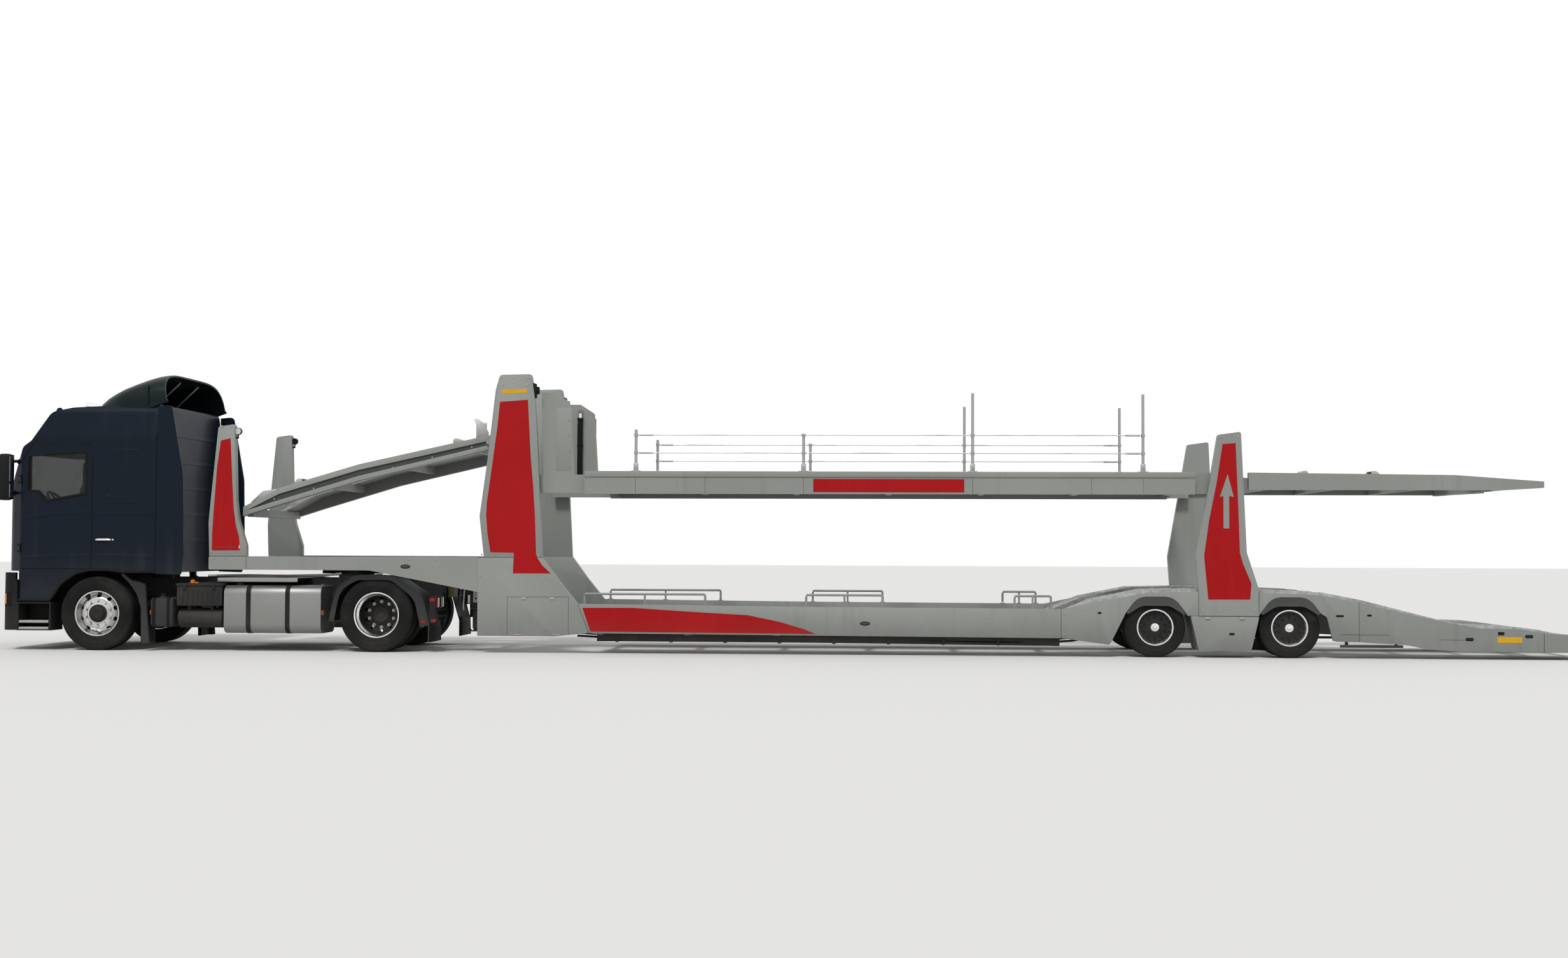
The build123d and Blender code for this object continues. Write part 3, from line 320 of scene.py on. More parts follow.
def glass(name, tint=(0.012, 0.018, 0.016), alpha=0.68, gloss=0.4):
    m = Maker(name)
    film = m.noise(3.0, 4.0).step(0.45, 0.8)
    m.material.surface_render_method = "BLENDED"
    return m.finish(Base_Color=m.mix(film * 0.1, tint, (0.3, 0.29, 0.27)), Roughness=0.03 + film * 0.06,
                    Alpha=alpha + film * 0.05, Specular_IOR_Level=gloss)


def lens(name, base):
    """A moulded lamp lens with a fine prism pattern."""
    m = Maker(name)
    prism = abs((m.x * 70.0).fract() - 0.5) + abs((m.z * 70.0).fract() - 0.5)
    tone = m.mix(prism * 0.5, shade(base, 0.75), shade(base, 1.2))
    tone = m.mix(m.noise(9.0, 4.0).step(0.5, 0.8) * 0.2, tone, DUST)
    return m.finish(Base_Color=tone, Roughness=0.12 + prism * 0.1, Metallic=0.0, Coat_Weight=0.12,
                    Specular_IOR_Level=0.2, Normal=m.bump(prism, 0.0015, 0.4))


def cloth(name, base=(0.085, 0.09, 0.105)):
    """Woven seat cloth: two crossed sets of threads."""
    m = Maker(name)
    warp = abs((m.x * 330.0 + m.z * 330.0).fract() - 0.5)
    weft = abs((m.y * 330.0).fract() - 0.5)
    tone = m.mix(warp + weft, shade(base, 0.7), shade(base, 1.35))
    return m.finish(Base_Color=m.mix(m.noise(5.0, 3.0) * 0.25, tone, (0.09, 0.09, 0.095)), Roughness=0.9,
                    Metallic=0.0, Sheen_Weight=0.25, Normal=m.bump(warp + weft, 0.0008, 0.6))


# %% Every finish by name
FINISH = {
    "slate": slate_paint(),
    "trailer": trailer_paint(),
    "red": red_sheet(),
    "deflector": plain_paint("deflector_paint", (0.004, 0.01, 0.0105), 0.3, 0.0, depth=0.0003),
    "black": plain_paint("black_plastic", (0.009, 0.0095, 0.0105), 0.5, 0.18),
    "grey": plain_paint("grey_plastic", (0.03, 0.032, 0.034), 0.55, 0.26),
    "arch": plain_paint("arch_plastic", (0.075, 0.077, 0.078), 0.55, 0.25),
    "chassis": plain_paint("chassis_paint", (0.022, 0.022, 0.023), 0.5, 0.35),
    "cast": plain_paint("cast_iron", (0.035, 0.032, 0.03), 0.65, 0.35, metallic=0.4, grain=90.0),
    "trim": plain_paint("trim_rubber", (0.008, 0.008, 0.009), 0.6, 0.05),
    "inside": plain_paint("cab_plastic", (0.095, 0.092, 0.086), 0.6, 0.0, grain=200.0, depth=0.0004),
    "tank": brushed("tank_alloy", (0.3, 0.305, 0.295), rough=0.4),
    "steel": brushed("zinc_steel", (0.42, 0.42, 0.41), (8.0, 8.0, 8.0), 0.38, 0.3),
    "rim": polished("rim_silver", (0.66, 0.66, 0.65), 0.2, 0.4),
    "rim_bright": polished("rim_bright", (0.86, 0.86, 0.85), 0.1, 0.22),
    "rim_dark": plain_paint("rim_dark", (0.016, 0.016, 0.017), 0.42, 0.16, metallic=0.2),
    "chrome": polished("chrome", (0.88, 0.88, 0.88), 0.07, 0.1),
    "deck": galvanised(),
    "rubber": rubber(),
    "glass": glass("window_glass", alpha=0.6, gloss=0.25),
    "screen": glass("screen_glass", (0.01, 0.014, 0.014), 0.42, 0.2),
    "visor": glass("visor_tint", (0.007, 0.01, 0.01), 0.86, 0.1),
    "mirror": polished("mirror_glass", (0.75, 0.78, 0.8), 0.02, 0.03),
    "amber": lens("amber_lens", (0.85, 0.24, 0.02)),
    "lamp_red": lens("red_lens", (0.42, 0.012, 0.012)),
    "white": lens("white_lens", (0.78, 0.79, 0.78)),
    "dull_lens": lens("dull_lens", (0.085, 0.08, 0.072)),
    "faded": plain_paint("faded_film", (0.22, 0.085, 0.075), 0.5, 0.0, depth=0.0002),
    "yellow": plain_paint("yellow_plate", (0.78, 0.43, 0.02), 0.4, 0.05, depth=0.0002),
    "faded_plate": plain_paint("faded_plate", (0.2, 0.16, 0.06), 0.5, 0.2, depth=0.0002),
    "pale": plain_paint("pale_film", (0.66, 0.6, 0.58), 0.4, 0.1, depth=0.0002),
    "cloth": cloth("seat_cloth"),
    "bunk": cloth("bunk_cloth", (0.1, 0.105, 0.12)),
    "pale_cloth": cloth("pillow_cloth", (0.42, 0.42, 0.44)),
}
print("finishes", len(FINISH))

# %% Finishes for the nodes that stay as they are
DRESS = {
    "slate": ["cab_shell", "door_left", "door_right", "cab_side_extenders"],
    "deflector": ["roof_deflector"],
    "black": ["front_bumper", "mirrors", "tank_straps"],
    "grey": ["tractor_mudguards", "side_boxes"],
    "arch": ["trailer_mudguards"],
    "chassis": ["tractor_frame", "tractor_suspension", "air_tanks", "front_axle", "knuckle_left",
                "knuckle_right", "landing_legs", "trailer_axles"],
    "cast": ["engine_block", "drive_axle", "fifth_wheel"],
    "tank": ["fuel_tanks"],
    "trailer": ["neck_frame", "trailer_side_frames", "trailer_cross_frames", "front_towers", "main_towers",
                "rear_towers", "deck_front", "deck_main", "deck_rear", "rear_extension"],
    "deck": ["lower_tracks", "guard_rails", "deck_main_posts"],
    "trim": ["deck_cylinders", "tractor_lamps"],
    "inside": ["dashboard", "cab_seats"],
    "glass": ["door_glass_left", "door_glass_right"],
    "screen": ["windscreen"],
    "lamp_red": ["trailer_lamps"],
    "rubber": [n for n in nodes if n.startswith("tyre")],
    "rim": [n for n in nodes if n.startswith("rim_front")],
    "rim_dark": [n for n in nodes if n.startswith("rims_")],
}
for finish_name, members in DRESS.items():
    for member in members:
        slots = nodes[member].data.materials
        slots.clear()
        slots.append(FINISH[finish_name])
print("dressed", sum(map(len, DRESS.values())))

# %% [markdown]
# ## Tools for making pieces
# Every new piece is drawn with X measured in metres behind the front axle, because that is how the lorry
# was measured. One function moves the mesh into the frame, gives it its finish, marks its sharp edges and
# makes it ride on a body. Shapes come from a few small builders: a box with soft edges, a plate with a
# lengthwise outline, a bar between two points, a bent tube, and a turned profile for wheels. Sizes are in
# metres, and longer outlines are lists of plain numbers in millimetres.


# %% Mesh builders
def mm(*numbers, size=2):
    """Points, each of size coordinates, from numbers in millimetres."""
    metres = [number / 1000 for number in numbers]
    return list(zip(*[iter(metres)] * size))


def angles(steps):
    """The angles of a full turn in equal steps."""
    return [tau * k / steps for k in range(steps)]


def about(middle, reach):
    """The two ends of a span around its middle."""
    return middle - reach, middle + reach


def skin(bm, rings, around=True, ends=True):
    """Faces between rings of points; around closes each ring, and ends caps the first and the last."""
    for one, two in zip(rings, rings[1:]):
        pairs = list(zip(one, two))
        for (a, d), (b, c) in zip(pairs, pairs[1:] + pairs[:1] * around):
            bm.faces.new((a, b, c, d))
    if ends:
        bm.faces.new(rings[0][::-1])
        bm.faces.new(rings[-1])
    return bm


def soften(bm, edges, width, segments=2):
    """Rounds the edges, if they have a width."""
    if width:
        bmesh.ops.bevel(bm, geom=list(edges), offset=width, segments=segments, profile=0.5, affect="EDGES")
    return bm


def box(bm, x, y, z, edge=0.0, segments=2):
    """A box between the pairs x, y and z, its edges rounded by edge."""
    middle = Vector((sum(x) / 2, sum(y) / 2, sum(z) / 2))
    size = Matrix.Diagonal((abs(x[1] - x[0]), abs(y[1] - y[0]), abs(z[1] - z[0]), 1))
    made = bmesh.ops.create_cube(bm, size=1, matrix=Matrix.Translation(middle) @ size)["verts"]
    return soften(bm, {e for v in made for e in v.link_edges}, edge, segments)


def boxes(bm, *numbers):
    """Boxes from rows of their limits in x, y and z and their edge radius, in millimetres."""
    for x0, x1, y0, y1, z0, z1, edge in mm(*numbers, size=7):
        box(bm, (x0, x1), (y0, y1), (z0, z1), edge)
    return bm


def plate(bm, corners, y0, y1, edge=0.0):
    """A plate with a lengthwise outline of (x, z) corners, from y0 to y1."""
    rings = [[bm.verts.new((x, y, z)) for x, z in corners] for y in (y0, y1)]
    faces = [bm.faces.new(ring) for ring in rings]
    skin(bm, rings, ends=False)
    return soften(bm, {e for f in faces for e in f.edges}, edge)


def rounded(corners, radius=0.0, steps=5):
    """The (x, z) corners with each one rounded by up to radius, or by its own third number."""
    made = []
    count = len(corners)
    for i in range(count):
        before, here, after = (Vector(corners[(i + k) % count][:2]) for k in (-1, 0, 1))
        size = corners[i][2] if len(corners[i]) > 2 else radius
        come, go = here - before, after - here
        turn = come.angle(go, 0.0)
        if not size or turn < 0.05:
            made.append(tuple(here))
            continue
        back = min(size * abs(sin(turn / 2) / cos(turn / 2)), come.length * 0.45, go.length * 0.45)
        start, end = here - come.normalized() * back, here + go.normalized() * back
        for k in range(steps + 1):
            t = k / steps
            made.append(tuple(start * (1 - t) ** 2 + here * 2 * t * (1 - t) + end * t * t))
    return made


def cone(bm, place, radius, top, depth, sides):
    """A cone or cylinder along the local Z of its place."""
    bmesh.ops.create_cone(bm, cap_ends=True, segments=sides, radius1=radius, radius2=top, depth=depth,
                          matrix=place)
    return bm


def bar(bm, start, end, radius, sides=12):
    """A round bar between two points."""
    start, end = Vector(start), Vector(end)
    turn = (end - start).to_track_quat("Z", "Y").to_matrix().to_4x4()
    return cone(bm, Matrix.Translation((start + end) / 2) @ turn, radius, radius, (end - start).length, sides)


def tube(bm, path, radius, sides=8):
    """A tube along a list of points, closed at both ends."""
    points = [Vector(p) for p in path]
    rings = []
    up = Vector((0, 0, 1))
    for i, point in enumerate(points):
        way = (points[min(i + 1, len(points) - 1)] - points[max(i - 1, 0)]).normalized()
        side = way.cross(up if abs(way.z) < 0.95 else Vector((1, 0, 0))).normalized()
        over = side.cross(way)
        rings.append([bm.verts.new(point + (side * cos(a) + over * sin(a)) * radius) for a in angles(sides)])
    return skin(bm, rings)


def curve(points, steps=6):
    """More points on a smooth line through the given ones."""
    pts = [Vector(p) for p in points]
    pts = [pts[0] * 2 - pts[1], *pts, pts[-1] * 2 - pts[-2]]
    made = []
    for a, b, c, d in zip(pts, pts[1:], pts[2:], pts[3:]):
        for k in range(steps):
            t = k / steps
            made.append(0.5 * (2 * b + (c - a) * t + (2 * a - 5 * b + 4 * c - d) * t * t
                               + (3 * b - a - 3 * c + d) * t ** 3))
    return [*made, pts[-2]]


def turned(axle, centre, profile, steps=64):
    """A closed profile of (outboard of centre, radius) points turned about an axle (x, z, side)."""
    x, z, side = axle
    axis = Vector((x, 0, z))
    bm = bmesh.new()
    rings = [[bm.verts.new(axis + Vector((r * cos(a), side * (centre + out), r * sin(a))))
              for out, r in profile] for a in angles(steps)]
    skin(bm, rings + rings[:1], ends=False)
    bmesh.ops.remove_doubles(bm, verts=bm.verts[:], dist=1e-6)
    return bm


def both_sides(bm):
    """Adds the mirror image across the middle plane."""
    copy = bmesh.ops.duplicate(bm, geom=bm.verts[:] + bm.edges[:] + bm.faces[:])["geom"]
    flipped = [v for v in copy if isinstance(v, bmesh.types.BMVert)]
    bmesh.ops.scale(bm, vec=(1, -1, 1), verts=flipped)
    return bm


def as_mesh(bm, name):
    """The drawn shape as a mesh."""
    mesh = bpy.data.meshes.new(name)
    bm.to_mesh(mesh)
    bm.free()
    return mesh


def piece(name, bm, finish, body, *replaced, soft=32):
    """Turns the mesh into an object in the frame that rides on body and, if named, replaces CAD nodes."""
    bmesh.ops.recalc_face_normals(bm, faces=bm.faces[:])
    bmesh.ops.translate(bm, vec=(FRONT_AXLE_X, 0, 0), verts=bm.verts[:])
    thing = bpy.data.objects.new(name, as_mesh(bm, name))
    mesh = thing.data
    mesh.materials.append(FINISH[finish])
    mesh.polygons.foreach_set("use_smooth", [True] * len(mesh.polygons))
    mesh.set_sharp_from_angle(angle=radians(soft))
    scene.collection.objects.link(thing)
    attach(thing, body)
    if replaced:
        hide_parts(*replaced)
    return thing


def pair(name, bm, finish, body, *replaced, soft=32):
    """The same for a shape that is drawn on the left and stands on both sides."""
    return piece(name, both_sides(bm), finish, body, *replaced, soft=soft)


# %% [markdown]
# ## Repeats by Geometry Nodes
# Wheel nuts, tread blocks, slots and deck dimples all repeat. One small tree repeats a shape around an
# axle and another along a straight run. Both end in Realize Instances and Set Material, so that the result
# is one plain mesh. The modifier's inputs are set by their identifiers before the object is evaluated.


# %% Trees that repeat a shape
class Tree(Maker):
    """The same expressions for a tree that sets copies of a shape on the points of a line."""

    def __init__(self, name, vector):
        self.tree = bpy.data.node_groups.new(name, "GeometryNodeTree")
        inputs = {"Geometry": "Geometry", "Count": "Int", vector: "Vector", "Finish": "Material"}
        for label, kind in inputs.items():
            self.tree.interface.new_socket(name=label, in_out="INPUT", socket_type="NodeSocket" + kind)
        self.tree.interface.new_socket(name="Geometry", in_out="OUTPUT", socket_type="NodeSocketGeometry")
        source = self.tree.nodes.new("NodeGroupInput")
        self.shape, self.count, self.vector, self.paint = (Value(self, s) for s in source.outputs[:4])

    def copies(self, turn=None, **line):
        """Ends the tree: a copy on each point of the line, made real and given its finish."""
        points = self.node("GeometryNodeMeshLine", dict(mode="OFFSET"), Count=self.count, **line)
        made = self.node("GeometryNodeInstanceOnPoints", {}, Points=points, Instance=self.shape,
                         Rotation=turn)
        made = self.node("GeometryNodeRealizeInstances", {}, Geometry=made)
        made = self.node("GeometryNodeSetMaterial", {}, Geometry=made, Material=self.paint)
        self.tree.links.new(made.socket, self.tree.nodes.new("NodeGroupOutput").inputs[0])
        return self.tree


ring = Tree("ring_of_copies", "Centre")
turns = ring.node("GeometryNodeInputIndex", {}) / ring.count * tau
RING = ring.copies(ring.node("ShaderNodeCombineXYZ", {}, Y=turns), Start_Location=ring.vector,
                   Offset=(0, 0, 0))
run = Tree("run_of_copies", "Step")
RUN = run.copies(Offset=run.vector)


def as_object(bm):
    """An object in the scene that holds the drawn shape while modifiers work on it."""
    thing = bpy.data.objects.new("drawn", as_mesh(bm, "drawn"))
    scene.collection.objects.link(thing)
    return thing


def meshed(thing):
    """The object's shape with its modifiers, as a new mesh; the modifiers go."""
    graph = bpy.context.evaluated_depsgraph_get()
    mesh = bpy.data.meshes.new_from_object(thing.evaluated_get(graph))
    thing.modifiers.clear()
    return mesh


def as_drawn(thing):
    """The object's shape with its modifiers, as a drawn shape; the object goes."""
    made = bmesh.new()
    made.from_mesh(meshed(thing))
    bpy.data.objects.remove(thing)
    return made


def repeated(bm, tree, finish, **inputs):
    """The drawn shape repeated by a tree, as a new drawn shape."""
    bmesh.ops.recalc_face_normals(bm, faces=bm.faces[:])
    thing = as_object(bm)
    modifier = thing.modifiers.new("repeat", "NODES")
    modifier.node_group = tree
    inputs["Finish"] = FINISH[finish]
    for socket in tree.interface.items_tree:
        if socket.name in inputs:
            modifier[socket.identifier] = inputs[socket.name]
    return as_drawn(thing)


def join(*drawn):
    """Several drawn shapes as one."""
    whole = bmesh.new()
    for bm in drawn:
        whole.from_mesh(as_mesh(bm, "join"))
    return whole


# %% [markdown]
# ## Tyres
# A lorry tyre has a bulged wall with a raised rim protector and fine concentric ribs, a rounded shoulder,
# and a crown with three or four grooves all round. The drive tyres add blocks across the crown for grip.
# The body of the tyre is a turned profile, and the blocks are a ring of copies.

# %% Tyre profiles and sizes
# where each axle stands, and the outboard distances of its wheels' middle planes
DRIVE_X, TRAILER_X1, TRAILER_X2 = 3.69, 13.705, 15.395
FRONT_Y, DRIVE_Y, TRAILER_Y = (1.0875,), (1.0975, 0.7625), (1.119, 0.877)
TRACTOR_R, TRAILER_R = 0.48, 0.38
TRACTOR_RIM, TRAILER_RIM = 0.286, 0.222
WHEELS = {
    # name: axle x, tyre radius, rim radius, tyre width, outboard distances, tread blocks
    "_front": (0.0, TRACTOR_R, TRACTOR_RIM, 0.315, FRONT_Y, False),
    "s_drive": (DRIVE_X, TRACTOR_R, TRACTOR_RIM, 0.295, DRIVE_Y, True),
    "s_trailer_1": (TRAILER_X1, TRAILER_R, TRAILER_RIM, 0.212, TRAILER_Y, False),
    "s_trailer_2": (TRAILER_X2, TRAILER_R, TRAILER_RIM, 0.212, TRAILER_Y, False),
}
GROOVE = 0.013


def tyre_profile(width, tyre_r, rim_r, blocks):
    """Half a tyre's section from the bead to the middle of the crown, mirrored to a closed ring."""
    half, wall = width / 2, tyre_r - rim_r
    bead = ((0.76, 0.001), (0.8, 0.006), (0.83, 0.015), (0.9, 0.022), (0.935, 0.028), (0.93, 0.034))
    bulge = ((0.965, 0.32), (0.99, 0.45), (0.995, 0.53), (0.985, 0.62), (0.972, 0.64), (0.974, 0.66),
             (0.955, 0.78))
    shoulder = ((0.935, 0.024), (0.9, 0.012), (0.84, 0.003), (0.8, 0.0005))
    outer = [(half * share, rim_r + r) for share, r in bead]
    outer += [(half * share, rim_r + wall * up) for share, up in bulge]
    outer += [(half * share, tyre_r - r) for share, r in shoulder]
    edges = (0.56, 0.5, 0.2, 0.14) if not blocks else (0.6, 0.55)
    for low, high in zip(edges[::2], edges[1::2]):
        outer += [(half * low, tyre_r), (half * (low - 0.012), tyre_r - GROOVE),
                  (half * (high + 0.012), tyre_r - GROOVE), (half * high, tyre_r)]
    mirrored = [(-out, r) for out, r in reversed(outer)]
    inside = [(-half * 0.7, rim_r + 0.012), (-half * 0.9, rim_r + wall * 0.5), (-half * 0.7, tyre_r - 0.03)]
    return outer + mirrored + inside + [(-out, r) for out, r in reversed(inside)]


def set_round(bm, axle, count, finish):
    """Copies of the drawn shape round an axle."""
    return repeated(bm, RING, finish, Count=count, Centre=(axle[0], 0, axle[1]))


NOTCHES, BLOCKS = 76, 58
# tread blocks across half the crown: from and to as shares of half the width, and the stagger along the tread
ROWS = ((0.3, 0.545, 0.0), (0.0, 0.27, 0.45), (-0.27, -0.03, 0.0), (-0.545, -0.3, 0.45))


def tyre_shape(x, tyre_r, rim_r, width, centre, side, blocks):
    axle = (x, tyre_r, side)
    half = width / 2
    notch = bmesh.new()
    for sign in (-1, 1):
        at_y = sorted(side * centre + sign * half * share for share in (0.83, 0.97))
        box(notch, (-0.006, 0.006), at_y, (tyre_r - 0.052, tyre_r - 0.0195))
    parts = [turned(axle, centre, tyre_profile(width, tyre_r, rim_r, blocks), 88),
             set_round(notch, axle, BLOCKS if blocks else NOTCHES, "rubber")]
    if blocks:
        block = bmesh.new()
        reach = pi * tyre_r / BLOCKS
        for low, high, shift in ROWS:
            across = sorted(side * centre + half * share for share in (low, high))
            box(block, about(reach * shift, reach * 0.72), across, (tyre_r - 0.02, tyre_r - 0.0012), 0.002, 1)
        parts.append(set_round(block, axle, BLOCKS, "rubber"))
    return join(*parts)


for label, (x, tyre_r, rim_r, width, centres, blocks) in WHEELS.items():
    for word, side in SIDE.items():
        shapes = [tyre_shape(x, tyre_r, rim_r, width, centre, side, blocks) for centre in centres]
        made = piece(f"road_tyre{label.lstrip('s')}_{word}", join(*shapes), "rubber", f"wheel{label}_{word}",
                     f"tyre{label}_{word}", soft=40)
print("tyre triangles", sum(len(p.vertices) - 2 for p in made.data.polygons))

# %% [markdown]
# ## Rims
# The front rim's disc bulges outwards and carries ten nuts around a black hub. The drive rims are dished
# deep, so that the polished barrel shows as a bright ring. The trailer's rims carry a disc close to the outer
# edge, with slots round it and a silver cap; its near-black paint is painted shade, for the shadow of a deep
# dish. Hand holes are cut by a boolean with a ring of capsules.


# %% Rim sections
def rim_section(seat, rim_r):
    """A barrel with rolled flanges and a dropped centre, as a closed ring of (outboard, radius) points."""
    lip, edge = 0.012, seat + 0.0118
    top = [(edge, rim_r + lip - 0.003), (edge - 0.003, rim_r + lip), (seat + 0.003, rim_r + lip),
           (seat, rim_r + lip - 0.003), (seat - 0.003, rim_r + 0.0005), (seat - 0.035, rim_r - 0.004),
           (seat * 0.42, rim_r - 0.03), (-seat * 0.3, rim_r - 0.03)]
    top += [(-out, r) for out, r in reversed(top[:-2])]
    under = [(-edge, rim_r - 0.003), (-seat + 0.01, rim_r - 0.013), (-seat * 0.35, rim_r - 0.039),
             (seat * 0.47, rim_r - 0.039), (seat - 0.03, rim_r - 0.0135), (edge - 0.005, rim_r - 0.008),
             (edge, rim_r - 0.003)]
    return top + under


def cut(solid, cutter):
    """The first drawn shape minus the second."""
    for bm in (solid, cutter):
        bmesh.ops.recalc_face_normals(bm, faces=bm.faces[:])
    thing, tool = as_object(solid), as_object(cutter)
    modifier = thing.modifiers.new("cut", "BOOLEAN")
    modifier.operation, modifier.object, modifier.solver = "DIFFERENCE", tool, "EXACT"
    made = as_drawn(thing)
    bpy.data.objects.remove(tool)
    return made


def crossbar(side, ring_r, out0, out1, radius, sides, bm=None):
    """A short bar across the wheel at ring_r above its axle."""
    return bar(bm or bmesh.new(), (0, side * out0, ring_r), (0, side * out1, ring_r), radius, sides)


def hand_holes(axle, ring_r, length, width, count, out0, out1):
    """Capsule-shaped cutters that point through the disc, set round the axle."""
    corners = [(length / 2 * cos(a), ring_r + width / 2 * sin(a)) for a in angles(16)]
    shape = plate(bmesh.new(), corners, *sorted((axle[2] * out0, axle[2] * out1)))
    return set_round(shape, axle, count, "cast")


def wheel_nuts(axle, ring_r, out, finish, size=0.017, length=0.026):
    """Ten hexagon nuts, each with a round flange and the stud's end, round the axle."""
    side = axle[2]
    middle = (0, (side * out + side * (out + length)) / 2, ring_r)
    place = Matrix.Translation(middle) @ Matrix.Rotation(radians(90), 4, "X")
    nut = cone(bmesh.new(), place, size, size * 0.94, length, 6)
    crossbar(side, ring_r, out, out + 0.007, size * 1.35, 14, nut)
    crossbar(side, ring_r, out, out + length + 0.012, size * 0.6, 10, nut)
    return set_round(nut, axle, 10, finish)


def fit_wheel(label, body, *parts):
    """Makes pieces of (name, shape, finish, node if one is replaced) that ride on a wheel."""
    for name, bm, finish, *node in parts:
        piece(f"{name}_{label}", bm, finish, body, *node, soft=30)


# %% Front rims
MIDDLE = FRONT_Y[0]
for word, side in SIDE.items():
    axle = (0.0, TRACTOR_R, side)
    section = rim_section(0.1232, TRACTOR_RIM)
    dish = mm(6, 256, 22, 256, 52, 243, 76, 222, 89, 205, 94, 190, 94, 112, 80, 110, 80, 186, 74, 200, 62,
              214, 40, 232, 12, 246, 6, 246)
    holes = hand_holes(axle, 0.227, 0.062, 0.036, 10, MIDDLE, MIDDLE + 0.14)
    nuts = wheel_nuts(axle, 0.1675, MIDDLE + 0.094, "chrome")
    ring = mm(92, 192, 101, 188, 101, 146, 92, 142)
    hub = mm(30, 118, 112, 116, 118, 108, 118, 98, 126, 94, 142, 86, 148, 74, 150, 40, 147, 30, 147, 1, 30, 1)
    stud = crossbar(side, 0.102, MIDDLE + 0.118, MIDDLE + 0.125, 0.007, 6)
    drum = mm(-90, 215, 30, 215, 35, 200, 35, 120, -60, 120, -60, 190, -90, 190)
    fit_wheel(
        word, f"wheel_front_{word}",
        ("front_barrel", turned(axle, MIDDLE, section, 96), "rim", f"rim_front_{word}"),
        ("front_disc", cut(turned(axle, MIDDLE, dish, 80), holes), "rim"),
        ("front_nuts", join(nuts, turned(axle, MIDDLE, ring, 60)), "rim"),
        ("front_hub", join(turned(axle, MIDDLE, hub, 48), set_round(stud, axle, 8, "trim")), "rim_dark"),
        ("front_drum", turned(axle, MIDDLE, drum, 40), "cast"))

# %% Drive rims
OUTER, INNER = DRIVE_Y
MIDDLE = (OUTER + INNER) / 2
for word, side in SIDE.items():
    axle = (DRIVE_X, TRACTOR_R, side)
    section = rim_section(0.11535, TRACTOR_RIM)
    barrels = join(turned(axle, OUTER, section, 96), turned(axle, INNER, section, 64))
    dish = mm(100, 250, 90, 254, -90, 254, -100, 250, -60, 240, -30, 222, -14, 200, -14, 130, 14, 130, 14,
              200, 30, 222, 60, 240)
    holes = hand_holes(axle, 0.212, 0.048, 0.04, 10, MIDDLE - 0.12, MIDDLE + 0.12)
    hub = mm(-200, 132, 22, 132, 28, 126, 28, 112, 40, 106, 52, 100, 56, 88, 56, 50, 64, 44, 64, 1, -200, 1)
    cap = crossbar(side, 0.074, MIDDLE + 0.054, MIDDLE + 0.066, 0.008, 6)
    fit_wheel(
        word, f"wheels_drive_{word}",
        ("drive_barrels", barrels, "rim_bright", f"rims_drive_{word}"),
        ("drive_disc", cut(turned(axle, MIDDLE, dish, 80), holes), "rim_dark"),
        ("drive_nuts", wheel_nuts(axle, 0.1675, MIDDLE + 0.013, "steel"), "steel"),
        ("drive_hub", join(turned(axle, MIDDLE, hub, 48), set_round(cap, axle, 10, "cast")), "cast"))

# %% Trailer rims
OUTER, INNER = TRAILER_Y
rim_places = [(f"{number}_{word}", x) for number, x in ((1, TRAILER_X1), (2, TRAILER_X2)) for word in SIDE]
for label, x in rim_places:
    side = SIDE[label[2:]]
    axle = (x, TRAILER_R, side)
    section = rim_section(0.08298, TRAILER_RIM)
    ring = mm(92, 224, 94, 216, 82, 206, 66, 199, 58, 198, 58, 204, 78, 214, 86, 224)
    barrels = join(turned(axle, OUTER, section, 96), turned(axle, INNER, section, 64),
                   turned(axle, OUTER, ring, 96))
    # painted shade: the disc sits near the outer edge and takes near-black paint for the shadow of a deep
    # dish
    dish = mm(60, 200, 64, 196, 60, 170, 62, 125, 70, 100, 72, 52, 72, 1, 50, 1, 50, 200)
    holes = hand_holes(axle, 0.181, 0.017, 0.02, 20, OUTER + 0.052, OUTER + 0.1)
    nuts = wheel_nuts(axle, 0.1375, OUTER + 0.06, "rim_dark", 0.013, 0.018)
    web = mm(-40, 184, 40, 184, 14, 150, 14, 75, -14, 75, -14, 150)
    cap = mm(70, 56, 78, 55, 84, 50, 86, 30, 92, 26, 94, 20, 94, 1, 70, 1)
    screw = crossbar(side, 0.04, OUTER + 0.085, OUTER + 0.089, 0.004, 6)
    fit_wheel(
        label, f"wheels_trailer_{label}",
        ("trailer_barrels", barrels, "rim_bright", f"rims_trailer_{label}"),
        ("trailer_shaded_disc", join(cut(turned(axle, OUTER, dish, 72), holes), nuts), "rim_dark"),
        ("trailer_web", turned(axle, (OUTER + INNER) / 2, web, 48), "cast"),
        ("trailer_cap", join(turned(axle, OUTER, cap, 40), set_round(screw, axle, 6, "steel")), "chrome"))
print("wheels done")

# %% [markdown]
# ## The trailer's side skins
# The sides of such a trailer are folded sheet boxes, welded into one long girder. A press leaves every fold
# with a small radius, which catches the light as a thin bright line. So the skins are drawn again from the
# measured outlines with softened edges, and they take the place of the sharp-edged solids.

